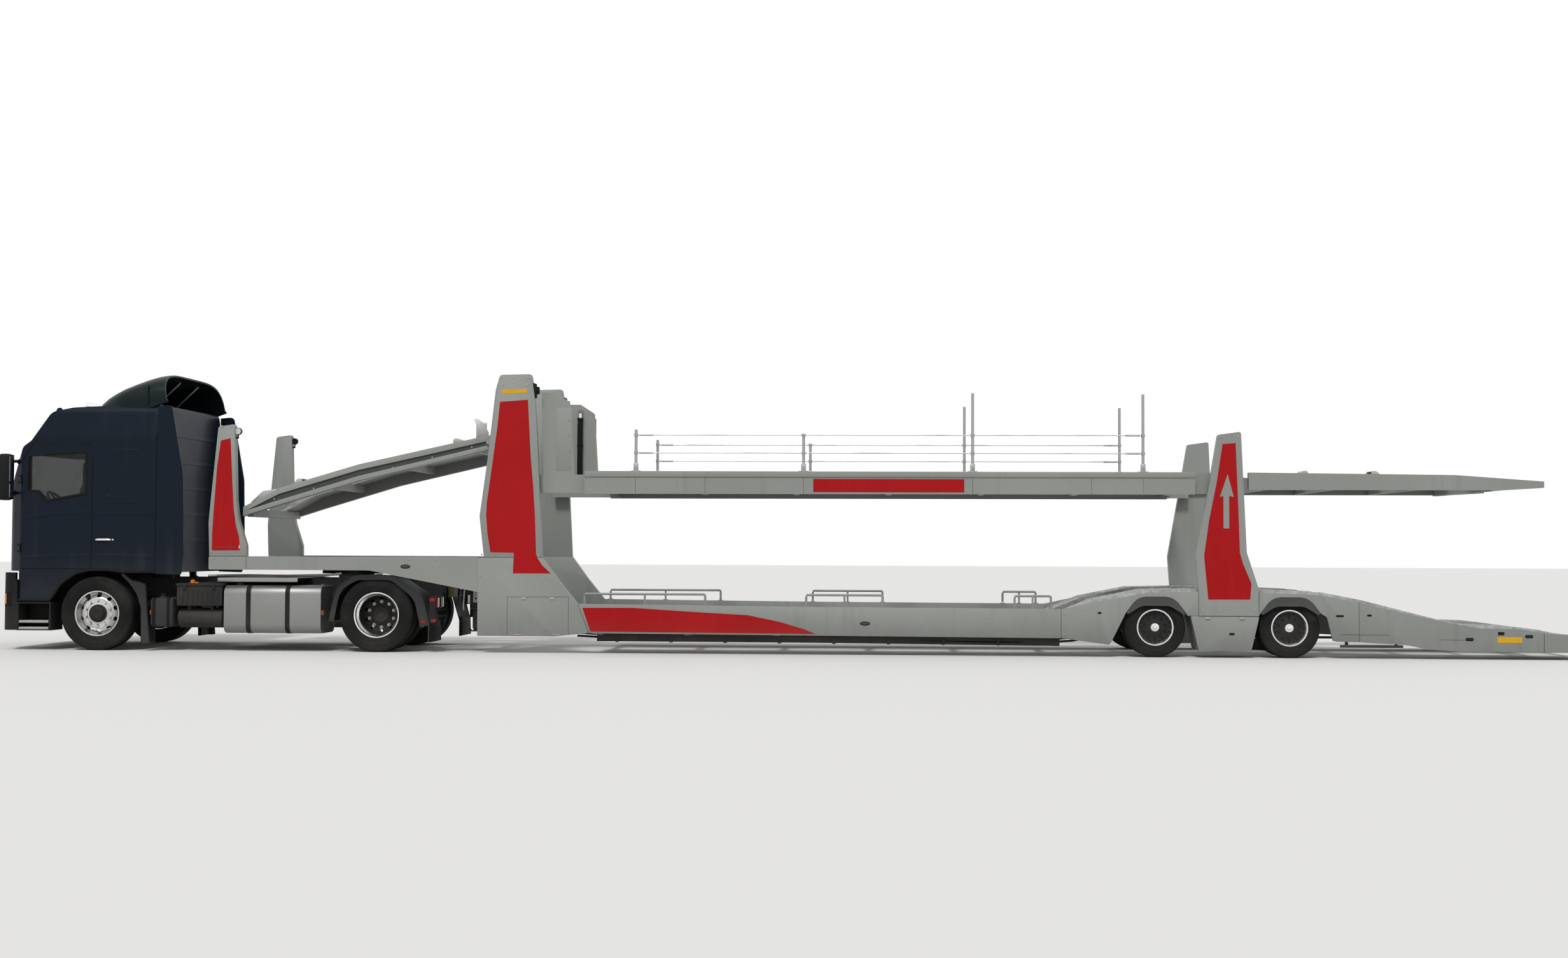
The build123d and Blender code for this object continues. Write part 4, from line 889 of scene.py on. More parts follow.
# %% Girder outlines: X behind the front axle, Z above ground, corner radius
SKIN_IN, SKIN_OUT = 1.185, 1.275
ARCH = mm(-375, 570, 60, -225, 772, 200, 225, 772, 200, 380, 570, 60, size=3)
SKINS = {
    "front_panel": mm(5020, 222, 0, 6015, 221, 60, 6471, 263, 30, 6322, 636, 60, 6075, 940, 300, 5860, 1234,
                      0, 5020, 1234, 0, size=3),
    "low_beam": mm(6471.3, 263, 0, 12509.7, 237, 0, 12509.7, 606, 0, 9232, 615, 0, 6322.3, 638, 0, size=3),
    "arch_front": [(12.51, 0.237, 0), (13.112, 0.16, 0), (13.14, 0.185, 0.02),
                   *[(TRAILER_X1 + x, z, r) for x, z, r in ARCH],
                   (14.105, 0.531, 0), (14.2447, 0.531, 0), (14.2447, 0.835, 0), (13.68, 0.818, 0.4),
                   (12.94, 0.7, 0.3), (12.51, 0.606, 0)],
    "arch_rear": [(15.0023, 0.531, 0), *[(TRAILER_X2 + x, z, r) for x, z, r in ARCH], (15.85, 0.525, 0.04),
                  (15.925, 0.225, 0.02), (15.97, 0.215, 0), (16.25, 0.21, 0), (16.25, 0.712, 0),
                  (15.78, 0.8, 0.4), (15.0023, 0.831, 0)],
    "tail_beam": mm(16250.3, 210, 0, 16830, 180, 60, 17100, 125, 100, 17510, 100, 0, 18540, 92, 0, 18540,
                    342, 0, 18220, 385, 200, 17750, 392, 400, 17087, 516, 300, 16250.3, 712, 0, size=3),
}
LOCKER = mm(14145, 530.7, 20, 14246, 90, 20, 14904, 91, 20, 15008, 530.7, 20, size=3)


def slab(corners, y0=SKIN_IN, y1=SKIN_OUT, edge=0.004):
    """A softened plate on each side of the trailer."""
    return both_sides(plate(bmesh.new(), rounded(corners), -y1, -y0, edge))


skins = [slab(line, 1.235 if name.startswith("arch") else SKIN_IN) for name, line in SKINS.items()]
piece("trailer_skins", join(*skins, slab(LOCKER, 0.7, 1.27, 0.006)), "trailer", "trailer",
      "trailer_side_frames")
print("skins", len(skins))

# %% [markdown]
# ## Tower panels and coloured film
# The three uprights on each side are welded boxes too. Red film is cut to a smaller copy of each outline,
# which leaves a grey margin, and the rear one carries a pale arrow. Film is only a millimetre proud, so it
# is drawn as a very thin plate on the skin. Signs and plates are left blank.

# %% Towers
TOWERS = {
    "front_towers": mm(1494, 1234.3, 0, 1482, 1676, 400, 1500, 1892, 400, 1595, 2921, 30, 1814, 2953, 30,
                       1846, 1964, 400, 1880, 1700, 400, 1985, 1373, 100, 1989, 1234.3, 0, size=3),
    "main_towers": mm(5098, 1234.3, 0, 5038, 1763, 200, 5134, 2487, 900, 5235, 3400, 200, 5290, 3595, 40,
                      5700, 3605, 40, 5746, 3277, 200, 5783, 2741, 900, 5821, 1922, 900, 5858, 1234.3, 0,
                      size=3),
}
for node, line in TOWERS.items():
    piece(node.replace("towers", "tower_boxes"), slab(line, edge=0.006), "trailer", "trailer", node)

# %% Film on the towers and the beam
FILM = {
    "front": mm(1631, 2741, 1758, 2769, 1788, 2216, 1811, 1857, 1841, 1641, 1889, 1480, 1901, 1310, 1531,
                1308, 1530, 1515, 1547, 1820, 1584, 2395),
    "main": mm(5291, 3245, 5656, 3272, 5697, 2551, 5732, 2174, 5759, 1781, 5779, 1281, 5795, 1230, 5861,
               1133, 5970, 1030, 5479, 1028, 5490, 1294, 5185, 1299, 5143, 1543, 5125, 1779, 5131, 1936,
               5191, 2377, 5265, 2961),
    "rear": mm(14550, 2711, 14715, 2725, 14738, 2134, 14764, 1332, 14802, 1195, 14907, 942, 14891, 741,
               14365, 738, 14314, 1291, 14378, 1741, 14477, 2231),
    "beam": mm(6385, 590, 7040, 593, 7826, 545, 8515, 508, 8921, 426, 9233, 335, 9389, 272, 6491, 287),
}
FILM_AT, FILM_PITCH, FILM_THICK = SKIN_OUT + 0.0002, 0.0012, 0.001104


def film(corners, layer=0):
    """Thin film on both sides; layer says how many films lie under it."""
    low = FILM_AT + layer * FILM_PITCH
    return slab(corners, low, low + FILM_THICK, 0.0)


piece("red_film", join(*[film(line) for line in FILM.values()]), "red", "trailer")
arrow = mm(14613, 2329, 14689, 2040, 14631, 2052, 14631, 1640, 14559, 1640, 14559, 2052, 14515, 2040)
piece("pale_arrow", film(arrow, 1), "trailer", "trailer")
piece("faded_line", film(mm(1562, 1352, 1848, 1352, 1848, 1358, 1562, 1358), 1), "faded", "trailer")
piece("pale_mark", film(mm(1886, 1330, 1897, 1335, 1900, 1362, 1893, 1385, 1886, 1372), 1), "pale", "trailer")
yellow = [mm(5317, 3355, 5641, 3362, 5641, 3416, 5317, 3409),
          mm(17963, 216, 18269, 216, 18269, 286, 17963, 286)]
piece("blank_plates", join(*[film(line) for line in yellow]), "yellow", "trailer")
piece("dark_plate", film(mm(17971, 310, 18050, 310, 18050, 350, 17971, 350)), "trim", "trailer")
sign = mm(9352, 2087, 11282, 2087, 11282, 2257, 9352, 2257)
piece("blank_sign", film(sign), "red", "deck_main")

# %% [markdown]
# ## Joints, doors and fixings on the skins
# Where two sheet boxes meet, sealant and shadow make a thin dark line. The lower panel has an access door,
# and bolts hold the towers' feet. Lines are drawn as flat strips that stand half a millimetre proud, and
# bolt heads are hexagons with a washer, repeated in short rows.


# %% Dark joint lines
def line_strip(bm, points, width=0.004):
    """A flat strip along (x, z) points on the left-hand skin."""
    for (x0, z0), (x1, z1) in zip(points, points[1:]):
        way = Vector((x1 - x0, z1 - z0)).normalized() * (width / 2)
        over = Vector((-way.y, way.x))
        ends = [Vector((x0, z0)) - way, Vector((x1, z1)) + way]
        corners = [ends[0] + over, ends[0] - over, ends[1] - over, ends[1] + over]
        plate(bm, [tuple(c) for c in corners], -SKIN_OUT - 0.0006, -SKIN_OUT + 0.001)
    return bm


JOINTS = [
    [(1.5, 1.233), (1.984, 1.233), (1.984, 1.06)],
    [(5.018, 1.2345), (5.86, 1.2345)],
    [(6.472, 0.263), (6.323, 0.637)], [(12.51, 0.238), (12.51, 0.606)], [(16.25, 0.211), (16.25, 0.712)],
    mm(14245, 835, 14245, 530, 15003, 530, 15003, 831),
    mm(5410, 235, 5410, 723, 6203, 727, 6205, 246),
    [(16.02, 0.305), (16.62, 0.3)], [(17.26, 0.25), (17.56, 0.242)],
    [(9.25, 0.24), (9.25, 0.335)], [(3.02, 1.061), (3.02, 1.075)],
]
lines = bmesh.new()
for path in JOINTS:
    line_strip(lines, path)
pair("skin_joints", lines, "trim", "trailer")
deck_lines = bmesh.new()
for x in (7.06, 7.96, 9.225, 11.39, 12.9, 13.555):
    line_strip(deck_lines, [(x, 2.066), (x, 2.277)], 0.003)
pair("deck_joints", deck_lines, "trim", "deck_main")
flange = mm(6402, 2278, 14203, 2282, 14203, 2352, 6402, 2352)
pair("deck_top_flange", plate(bmesh.new(), flange, -1.287, -1.2745, 0.003), "trailer", "deck_main")


# %% Bolt heads in rows
def bolts(rows, size=0.009):
    """Hexagon heads with washers; a row is (x, z, count, step x, step z)."""
    made = []
    for x, z, count, step_x, step_z in rows:
        head = bmesh.new()
        bar(head, (x, -SKIN_OUT, z), (x, -SKIN_OUT - 0.002, z), size * 1.25, 14)
        bar(head, (x, -SKIN_OUT, z), (x, -SKIN_OUT - 0.008, z), size, 6)
        made.append(repeated(head, RUN, "steel", Count=count, Step=(step_x, 0, step_z)))
    return both_sides(join(*made))


TRAILER_BOLTS = [(1.535, 1.29, 2, 0.0, -0.09), (1.56, 1.205, 3, 0.14, 0.0), (2.02, 1.13, 2, 0, -0.04),
                 (5.07, 1.27, 2, 0.74, 0.0), (5.06, 0.4, 4, 0.0, 0.2), (4.87, 0.93, 1, 0, 0),
                 (5.45, 3.565, 2, 0.2, 0.004), (14.29, 0.62, 3, 0.33, 0.0), (14.54, 2.8, 2, 0.2, 0.02),
                 (16.3, 0.26, 3, 0.0, 0.18), (12.55, 0.29, 3, 0.0, 0.13), (3.4, 1.205, 4, 0.36, 0)]
piece("trailer_bolts", bolts(TRAILER_BOLTS), "steel", "trailer")
DECK_BOLTS = [(6.45, 2.1, 2, 0.0, 0.17), (14.16, 2.1, 2, 0.0, 0.17), (7.5, 2.1, 2, 1.0, 0.0),
              (11.9, 2.1, 2, 1.0, 0.0)]
piece("deck_bolts", bolts(DECK_BOLTS, 0.007), "steel", "deck_main")
print("joints and bolts")

# %% Markers, slots and small doors on the skins
def oval(x, z, length, height, steps=20):
    return [(x + length / 2 * cos(a), z + height / 2 * sin(a)) for a in angles(steps)]


def pill(x, z, length, height, steps=6):
    """A slot with round ends, as (x, z) corners."""
    r, half = height / 2, length / 2 - height / 2
    turns = [pi / 2 * (2 * k / steps - 1) for k in range(steps + 1)]
    right = [(x + half + r * cos(a), z + r * sin(a)) for a in turns]
    return right + [(2 * x - px, 2 * z - pz) for px, pz in right]


markers, bezels = bmesh.new(), bmesh.new()
for x, z in ((4.076, 1.11), (10.02, 0.41)):
    plate(bezels, oval(x, z, 0.13, 0.05), -SKIN_OUT - 0.004, -SKIN_OUT + 0.001, 0.0015)
    plate(markers, oval(x, z, 0.106, 0.03), -SKIN_OUT - 0.012, -SKIN_OUT - 0.002, 0.004)
pair("side_marker_lenses", markers, "dull_lens", "trailer")
for x, z, length in mm(12997, 561, 50, 16378, 548, 60, 16010, 538, 100, 14660, 305, 70, 18356, 296, 50,
                       size=3):
    plate(bezels, pill(x, z, length, 0.026), -SKIN_OUT - 0.001, -SKIN_OUT + 0.001)
pair("marker_bezels", bezels, "trim", "trailer")
catches = bmesh.new()
for x, z in mm(5620, 705, 5990, 707, 14360, 500, 14790, 500):
    box(catches, about(x, 0.03), (-SKIN_OUT - 0.006, -SKIN_OUT + 0.001), about(z, 0.014), 0.003)
    bar(catches, (x, -SKIN_OUT, z), (x, -SKIN_OUT - 0.013, z), 0.008, 10)
for x in (5.55, 6.05):
    bar(catches, (x - 0.045, -SKIN_OUT - 0.004, 0.24), (x + 0.045, -SKIN_OUT - 0.004, 0.24), 0.006, 10)
pair("door_catches", catches, "steel", "trailer")

# %% [markdown]
# ## The band under the lower beam
# Under the girder runs a set-back channel that carries pipes and cables along the trailer; its near-black
# chassis paint is painted shade, for the dark shadowed band under the beam. It is a folded channel hung from
# brackets, with two pipes in it.

# %% Under-beam channel
channel = bmesh.new()
# painted shade: the channel's near-black chassis paint darkens the shadowed band under the beam
section = mm(1120, 262, 1168, 262, 1168, 158, 1120, 158, 1120, 163, 1163, 163, 1163, 257, 1120, 257)
rings = [[channel.verts.new((x, -y, z - drop)) for y, z in section]
         for x, drop in ((6.56, 0.0), (9.5, 0.004), (12.5, 0.024))]
skin(channel, rings)
bracket = box(bmesh.new(), (6.8, 6.84), (-1.178, -1.1), (0.15, 0.268), 0.003)
brackets = repeated(bracket, RUN, "chassis", Count=9, Step=(0.7, 0, -0.002))
pair("shaded_band_channel", join(channel, brackets), "chassis", "trailer")
pipes = bmesh.new()
for y, z, r in ((-1.145, 0.205, 0.014), (-1.13, 0.235, 0.009)):
    tube(pipes, curve([(6.3, y + 0.03, z + 0.02), (7.0, y, z), (9.5, y, z - 0.004), (12.4, y, z - 0.02),
                       (13.0, y + 0.2, z + 0.1)], 5), r, 8)
pair("under_pipes", pipes, "trim", "trailer")

# %% [markdown]
# ## Lines that follow the cab's surface
# Body seams, creases and seals lie on curved panels. To place them, a ray is sent at the cab from the side
# for every point of a drawn line, and a narrow strip is built on the points that it hits. The same tool
# makes dark seams, when the strip is flat and black, and pressed creases, when it is higher and painted.


# %% Draping strips on a surface
def surface(*names):
    """A search tree over the faces of carried-over pieces."""
    points, faces = [], []
    for name in names:
        thing = nodes[name]
        start = len(points)
        points += [thing.matrix_world @ v.co for v in thing.data.vertices]
        faces += [[start + i for i in p.vertices] for p in thing.data.polygons]
    return BVHTree.FromPolygons(points, faces)


def hit(tree, a, z, front=False):
    """The point and normal met by a ray from the left at (x, z), or from the front at (y, z)."""
    start, way = (a + FRONT_AXLE_X, -2, z), (0, 1, 0)
    if front:
        start, way = (FRONT_AXLE_X - 2, a, z), (1, 0, 0)
    spot, normal, _, _ = tree.ray_cast(Vector(start), Vector(way))
    return (spot - Vector((FRONT_AXLE_X, 0, 0)), normal) if spot else None


def drape(bm, tree, points, width=0.005, lift=0.0008, gap=0.03, sink=0.001, front=False):
    """A closed strip of this width along (x, z) points, or (y, z) ones in front, lifted off the surface."""
    path = []
    for (x0, z0), (x1, z1) in zip(points, points[1:]):
        count = max(1, int(hypot(x1 - x0, z1 - z0) / gap))
        path += [(x0 + (x1 - x0) * k / count, z0 + (z1 - z0) * k / count) for k in range(count)]
    hits = [found for found in (hit(tree, a, z, front) for a, z in [*path, points[-1]]) if found]
    rings = []
    for i, (spot, normal) in enumerate(hits):
        way = (hits[min(i + 1, len(hits) - 1)][0] - hits[max(i - 1, 0)][0]).normalized()
        over = way.cross(normal).normalized() * (width / 2)
        low, high = spot - normal * sink, spot + normal * lift
        corners = (low - over, high - over * 0.55, high + over * 0.55, low + over)
        rings.append([bm.verts.new(corner) for corner in corners])
    return skin(bm, rings)


def patch(bm, tree, low, high, lift, sink, steps):
    """A thin cover on the front surface between two (y, z) corners, with steps across and up."""
    sheets = [[], []]
    for i in range(steps[0] + 1):
        for sheet in sheets:
            sheet.append([])
        for k in range(steps[1] + 1):
            u, v = i / steps[0], k / steps[1]
            spot, normal = hit(tree, low[0] + (high[0] - low[0]) * u, low[1] + (high[1] - low[1]) * v, True)
            for sheet, shift in zip(sheets, (lift, -sink)):
                sheet[i].append(bm.verts.new(spot + normal * shift))
    for sheet in sheets:
        skin(bm, sheet, around=False, ends=False)
    rims = [[row[0] for row in sheet] + sheet[-1][1:] + [row[-1] for row in sheet[-2::-1]] + sheet[0][-2:0:-1]
            for sheet in sheets]
    return skin(bm, rims, ends=False)


def grown(corners, distance):
    """The outline moved outwards by distance; corners run either way round."""
    count = len(corners)
    following = corners[1:] + corners[:1]
    area = sum(a[0] * b[1] - b[0] * a[1] for a, b in zip(corners, following))
    sign = 1 if area > 0 else -1
    made = []
    for i in range(count):
        a, b, c = (Vector(corners[(i + k) % count]) for k in (-1, 0, 1))
        n0, n1 = (Vector((d.y, -d.x)) * sign for d in ((b - a).normalized(), (c - b).normalized()))
        middle = (n0 + n1).normalized()
        made.append(tuple(b + middle * distance / max(0.5, middle.dot(n0))))
    return made


def frame_plate(bm, outer, inner, y0, y1, edge=0.0):
    """A flat ring between two outlines of equal length, from y0 to y1."""
    rows = [[bm.verts.new((x, y, z)) for x, z in line]
            for y, line in ((y0, outer), (y0, inner), (y1, inner), (y1, outer))]
    skin(bm, rows + rows[:1], ends=False)
    return soften(bm, [bm.edges.get(ends) for row in rows for ends in zip(row, row[1:] + row[:1])], edge)


CAB = surface("cab_shell", "door_left", "cab_side_extenders")
CAB_SKIN = 1.24

# %% [markdown]
# ## The cab's seams, creases and window seals
# The cab is pressed steel. Its panels meet in narrow dark gaps, and the pressing adds creases at the belt
# and above the wheel arch, a raised field behind the door, and a black seal round each window. The wheel
# arch has a black edge strip, which is rubber on the real cab and keeps stones off the paint.

# %% Seams and creases
seams = bmesh.new()
for path in (
        mm(-1100, 2470, -860, 2705, -100, 2728, 300, 2742, 640, 2738, 765, 2742),
        mm(-86, 2700, -70, 2200, -60, 1450, -75, 1200, -110, 1050),
        mm(640, 3120, 662, 2780, 700, 2200, 726, 1820, 748, 1020),
        [(-0.045, 1.812), (0.3, 1.816), (0.725, 1.818)], [(-0.05, 1.195), (0.35, 1.19), (0.745, 1.188)]):
    drape(seams, CAB, path, 0.007, 0.0008)
pair("cab_seams", seams, "trim", "cab", soft=60)
creases = bmesh.new()
for path, width, lift in (
        ([(-0.04, 1.775), (0.3, 1.78), (0.715, 1.782)], 0.05, 0.0022),
        ([(-0.04, 1.236), (0.35, 1.232), (0.74, 1.23)], 0.05, 0.003),
        (mm(100, 2030, 88, 2100, 88, 2550, 115, 2610, 500, 2615, 535, 2560, 545, 2100, 520, 2030, 480, 2005,
            140, 2005, 100, 2030), 0.022, 0.0022),
        ([(0.14, 1.93), (0.48, 1.935)], 0.05, 0.0025),
        (mm(800, 1300, 860, 2000, 840, 2600, 800, 3000), 0.03, 0.0025)):
    drape(creases, CAB, path, width, lift, 0.02, 0.0012)
pair("cab_creases", creases, "slate", "cab", soft=60)
arch_edge = mm(-1052, 640, -625, 640, -560, 745, -480, 860, -380, 935, -270, 995, -190, 1022, -100, 1035,
               150, 1035, 345, 1012, 745, 1010)
inner_edge = [(x, z + 0.03) for x, z in arch_edge]
inner_edge[1:5] = mm(-640, 668, -586, 762, -500, 882, -394, 962)
arch_trim = plate(bmesh.new(), arch_edge + inner_edge[::-1], -CAB_SKIN - 0.005, -CAB_SKIN + 0.01, 0.003)
pair("arch_edge_trim", arch_trim, "black", "cab")

# %% Doors: crease, seal and window frame
WINDOW = mm(-930, 2535, -178, 2590, -172, 2055, -680, 1960, -795, 2084, -940, 2090)
window_line = rounded([(x, z, 0.04) for x, z in WINDOW], steps=4)
for word, side in SIDE.items():
    seal = frame_plate(bmesh.new(), grown(window_line, 0.026), grown(window_line, -0.006), -CAB_SKIN - 0.004,
                       -CAB_SKIN + 0.03, 0.003)
    box(seal, (-0.925, -0.895), (-CAB_SKIN + 0.012, -CAB_SKIN + 0.016), (2.1, 2.52), 0.001)
    wipe = plate(bmesh.new(), mm(-690, 1930, -660, 1934, -165, 2030, -150, 2052, -172, 2060, -676, 1966),
                 -CAB_SKIN - 0.007, -CAB_SKIN, 0.002)
    fold = bmesh.new()
    for path, width, lift in (([(-1.02, 1.72), (-0.6, 1.775), (-0.1, 1.8)], 0.06, 0.0025),
                              ([(-1.02, 1.208), (-0.55, 1.225), (-0.1, 1.236)], 0.05, 0.003),
                              ([(-1.0, 1.895), (-0.72, 1.9), (-0.1, 2.0)], 0.03, 0.0018)):
        drape(fold, CAB, path, width, lift, 0.02, 0.0012)
    parts = [("window_seal", join(seal, wipe), "trim"), ("door_creases", fold, "slate")]
    for name, bm, finish in parts:
        if side > 0:
            bmesh.ops.scale(bm, vec=(1, -1, 1), verts=bm.verts[:])
        piece(f"{name}_{word}", bm, finish, f"door_{word}", soft=50)
print("doors")

# %% [markdown]
# ## Door handles, steps and bumper
# The handle is a chrome bar in a black dish. Under the door a black plastic step box holds two treads
# stamped from aluminium, with rows of grip holes.

# %% Handles and step treads
GRIP_Z = 1.443
dish, grip = bmesh.new(), bmesh.new()
plate(dish, oval(0.077, GRIP_Z, 0.235, 0.075, 28), -CAB_SKIN - 0.0015, -CAB_SKIN + 0.001)
tube(grip, curve([(-0.022, -CAB_SKIN, GRIP_Z), (-0.01, -CAB_SKIN - 0.02, GRIP_Z),
                  (0.03, -CAB_SKIN - 0.031, 1.444), (0.125, -CAB_SKIN - 0.031, 1.444),
                  (0.165, -CAB_SKIN - 0.02, GRIP_Z), (0.177, -CAB_SKIN, GRIP_Z)], 5), 0.0125, 10)
bmesh.ops.scale(grip, vec=(1, 0.7, 1), verts=grip.verts[:], space=Matrix.Translation((0, CAB_SKIN, 0)))
bar(grip, (0.205, -CAB_SKIN + 0.001, GRIP_Z), (0.205, -CAB_SKIN - 0.003, GRIP_Z), 0.01, 16)
pair("handle_dishes", dish, "trim", "cab")
pair("door_handles", grip, "chrome", "cab")
treads = bmesh.new()
for z, y0, y1 in ((0.376, 0.925, 1.258), (0.291, 1.005, 1.258)):
    box(treads, (-1.022, -0.628), (-y1, -y0), (z, z + 0.012), 0.003)
    plate(treads, [(-1.02, z - 0.02), (-0.63, z - 0.02), (-0.63, z + 0.006), (-1.02, z + 0.006)], -1.2645,
          -1.2585, 0.002)
stud = bmesh.new()
bar(stud, (-0.99, -1.235, 0.386), (-0.99, -1.235, 0.391), 0.011, 10)
studs = repeated(stud, RUN, "steel", Count=9, Step=(0.0425, 0, 0))
pair("step_treads", join(treads, studs), "steel", "tractor")

# %% [markdown]
# ## The cab's face
# The front is hidden in the photograph, so it follows what such cabs have: a wide black grille with bars, a
# lid that lifts for servicing, a tinted visor over the windscreen, wipers parked along its lower edge, and
# marker lamps. The wipers stand off the surface on small feet, and the visor stands off it on its own.

# %% Grille, lid seam and screen surround
FACE = surface("cab_shell", "windscreen")
grille = bmesh.new()
patch(grille, FACE, (-0.86, 1.075), (0.86, 1.64), 0.004, 0.002, (24, 4))
piece("grille_field", grille, "trim", "cab")
bars = bmesh.new()
for z in (1.135, 1.225, 1.315, 1.405, 1.495, 1.585):
    drape(bars, FACE, [(-0.84, z), (0.84, z)], 0.046, 0.02, 0.07, 0.0, True)
for y in (-0.86, 0.86):
    drape(bars, FACE, [(y, 1.075), (y, 1.64)], 0.02, 0.018, 0.06, 0.0, True)
piece("grille_bars", bars, "black", "cab", soft=50)
edge = bmesh.new()
for path in (mm(-900, 1070, -930, 1700, -1020, 1905, 1020, 1905, 930, 1700, 900, 1070),
             [(-0.62, 1.705), (0.62, 1.705)]):
    drape(edge, FACE, path, 0.006, 0.0008, 0.04, 0.001, True)
piece("front_lid_seam", edge, "trim", "cab", soft=60)
rim = bmesh.new()
corners = mm(-1088, 1962, 1088, 1962, 1088, 2648, -1088, 2648)
for path in ((corners[0], corners[1]), (corners[3], corners[2]), (corners[0], corners[3]),
             (corners[1], corners[2])):
    drape(rim, FACE, path, 0.055, 0.004, 0.05, 0.004, True)
piece("screen_surround", rim, "trim", "cab", soft=60)

# %% Visor, wipers, roof lamps
visor = bmesh.new()
brim = mm(-1020, 2735, -1130, 2700, -1235, 2610, -1240, 2585, -1232, 2583, -1120, 2680, -1015, 2715)
rows = []
for k in range(25):
    y = -1.1 + 2.2 * k / 24
    back = 0.2 * abs(y / 1.1) ** 4
    rows.append([visor.verts.new((x + back, y, z)) for x, z in brim])
piece("sun_visor", skin(visor, rows), "visor", "cab", soft=50)
wipers = bmesh.new()
for y in (-0.72, 0.1):
    spot = hit(FACE, y, 1.945, True)[0]
    bar(wipers, spot + Vector((0.01, 0, 0)), spot - Vector((0.035, 0, 0)), 0.018, 14)
    for y0, z0, length, rise, count, off, radius, sides in (
            (y, 1.95, 0.62, 0.09, 8, 0.03, 0.008, 8), (y + 0.16, 1.99, 0.7, 0.055, 10, 0.016, 0.007, 6)):
        path = [hit(FACE, y0 + length * k / count, z0 + rise * k / count, True)[0] for k in range(count + 1)]
        tube(wipers, [spot - Vector((off, 0, 0)) for spot in path], radius, sides)
piece("wipers", wipers, "trim", "cab")
lamps, feet = bmesh.new(), bmesh.new()
for y in (-1.02, -0.34, 0.34, 1.02):
    spot = hit(FACE, y, 3.075, True)[0]
    box(feet, (spot.x - 0.03, spot.x + 0.075), about(y, 0.07), (3.062, 3.112), 0.012)
    box(lamps, (spot.x - 0.04, spot.x - 0.02), about(y, 0.055), (3.07, 3.104), 0.01)
piece("roof_lamp_bases", feet, "trim", "cab")
piece("roof_lamp_lenses", lamps, "amber", "cab")
ball = bmesh.new()
for spot, size in (((-0.665, -0.93, 3.15), 0.042), ((-0.62, -0.93, 3.135), 0.028)):
    bmesh.ops.create_uvsphere(ball, u_segments=20, v_segments=12, radius=size,
                              matrix=Matrix.Translation(spot))
bar(ball, (-0.645, -0.93, 3.07), (-0.645, -0.93, 3.15), 0.014)
pair("search_lamps", ball, "trim", "cab", soft=60)
horns = bmesh.new()
for y in (-0.55, -0.42):
    path = [(-0.3 + 0.05 * k, y, 3.232) for k in range(9)]
    tube(horns, path, 0.014, 10)
    mouth = Matrix.Translation((-0.37, y, 3.235)) @ Matrix.Rotation(radians(90), 4, "Y")
    cone(horns, mouth, 0.056, 0.016, 0.16, 24)
    box(horns, (-0.2, -0.17), about(y, 0.02), (3.17, 3.23), 0.004)
bar(horns, (-0.22, 0.62, 3.17), (-0.22, 0.62, 3.2), 0.02, 14)
tube(horns, [(-0.22, 0.62, 3.19), (-0.12, 0.62, 3.42), (-0.06, 0.62, 3.56)], 0.005, 6)
piece("air_horns", horns, "chrome", "cab")

# %% [markdown]
# ## Mirrors
# A lorry's mirror housing is a tall black moulding on two arms, with a flat glass above and a smaller
# wide-angle glass below. Rounded boxes make the housing; the glasses are set back a little in the rear face.

# %% Mirror housings and glasses
housing, glasses = bmesh.new(), bmesh.new()
boxes(housing,
      -1268, -1120, -1423, -1264, 1952, 2558, 36,
      -1150, -1111, -1418, -1269, 1962, 2548, 14)
for x, z in ((-1.165, 2.05), (-1.085, 2.46)):
    spot = hit(CAB, x, z)
    tube(housing, curve([(x - 0.02, -1.3, z), (x, -1.262, z + 0.004), (x + 0.01, spot[0].y + 0.01, z)], 5),
         0.019, 12)
    bar(housing, (x + 0.01, spot[0].y + 0.012, z), (x + 0.01, spot[0].y - 0.01, z), 0.036, 20)
for z0, z1 in ((2.195, 2.525), (1.985, 2.165)):
    box(glasses, (-1.116, -1.1095), (-1.408, -1.279), (z0, z1), 0.0025)
pair("mirror_housings", housing, "black", "cab", "mirrors", soft=50)
pair("mirror_glasses", glasses, "mirror", "cab")

# %% [markdown]
# ## The roof deflector
# The deflector is a hollow moulding, open at the back, that leads air over the load. Its sections grow from
# the nose to a wide boxy arch, and the lower rear corners are cut away. It is lofted here as two skins, an
# outer and an inner one, joined along the edge, so that the open back shows a real wall.

# %% Deflector skins
TOP = mm(-165, 3145, -150, 3225, -100, 3290, 0, 3365, 110, 3425, 235, 3482, 380, 3544, 520, 3598, 640, 3636,
         720, 3649, 775, 3652)
BASE_Z = 3.142


def deflector_ring(bm, x, top, half, inset):
    points = []
    for k in range(37):
        a = pi * k / 36
        c, s = cos(a), sin(a)
        y = (half - inset) * (abs(c) ** 0.42) * (1 if c > 0 else -1)
        up = abs(s) ** 0.55
        z = BASE_Z + max(0.0, top - inset - BASE_Z) * up
        slant = max(0.0, x - 0.56) / 0.215
        z = max(z, BASE_Z + 0.115 * slant * (1 - up) ** 0.3)
        points.append(bm.verts.new((x + 0.105 * slant * (1 - up) ** 0.8, y, z)))
    return points


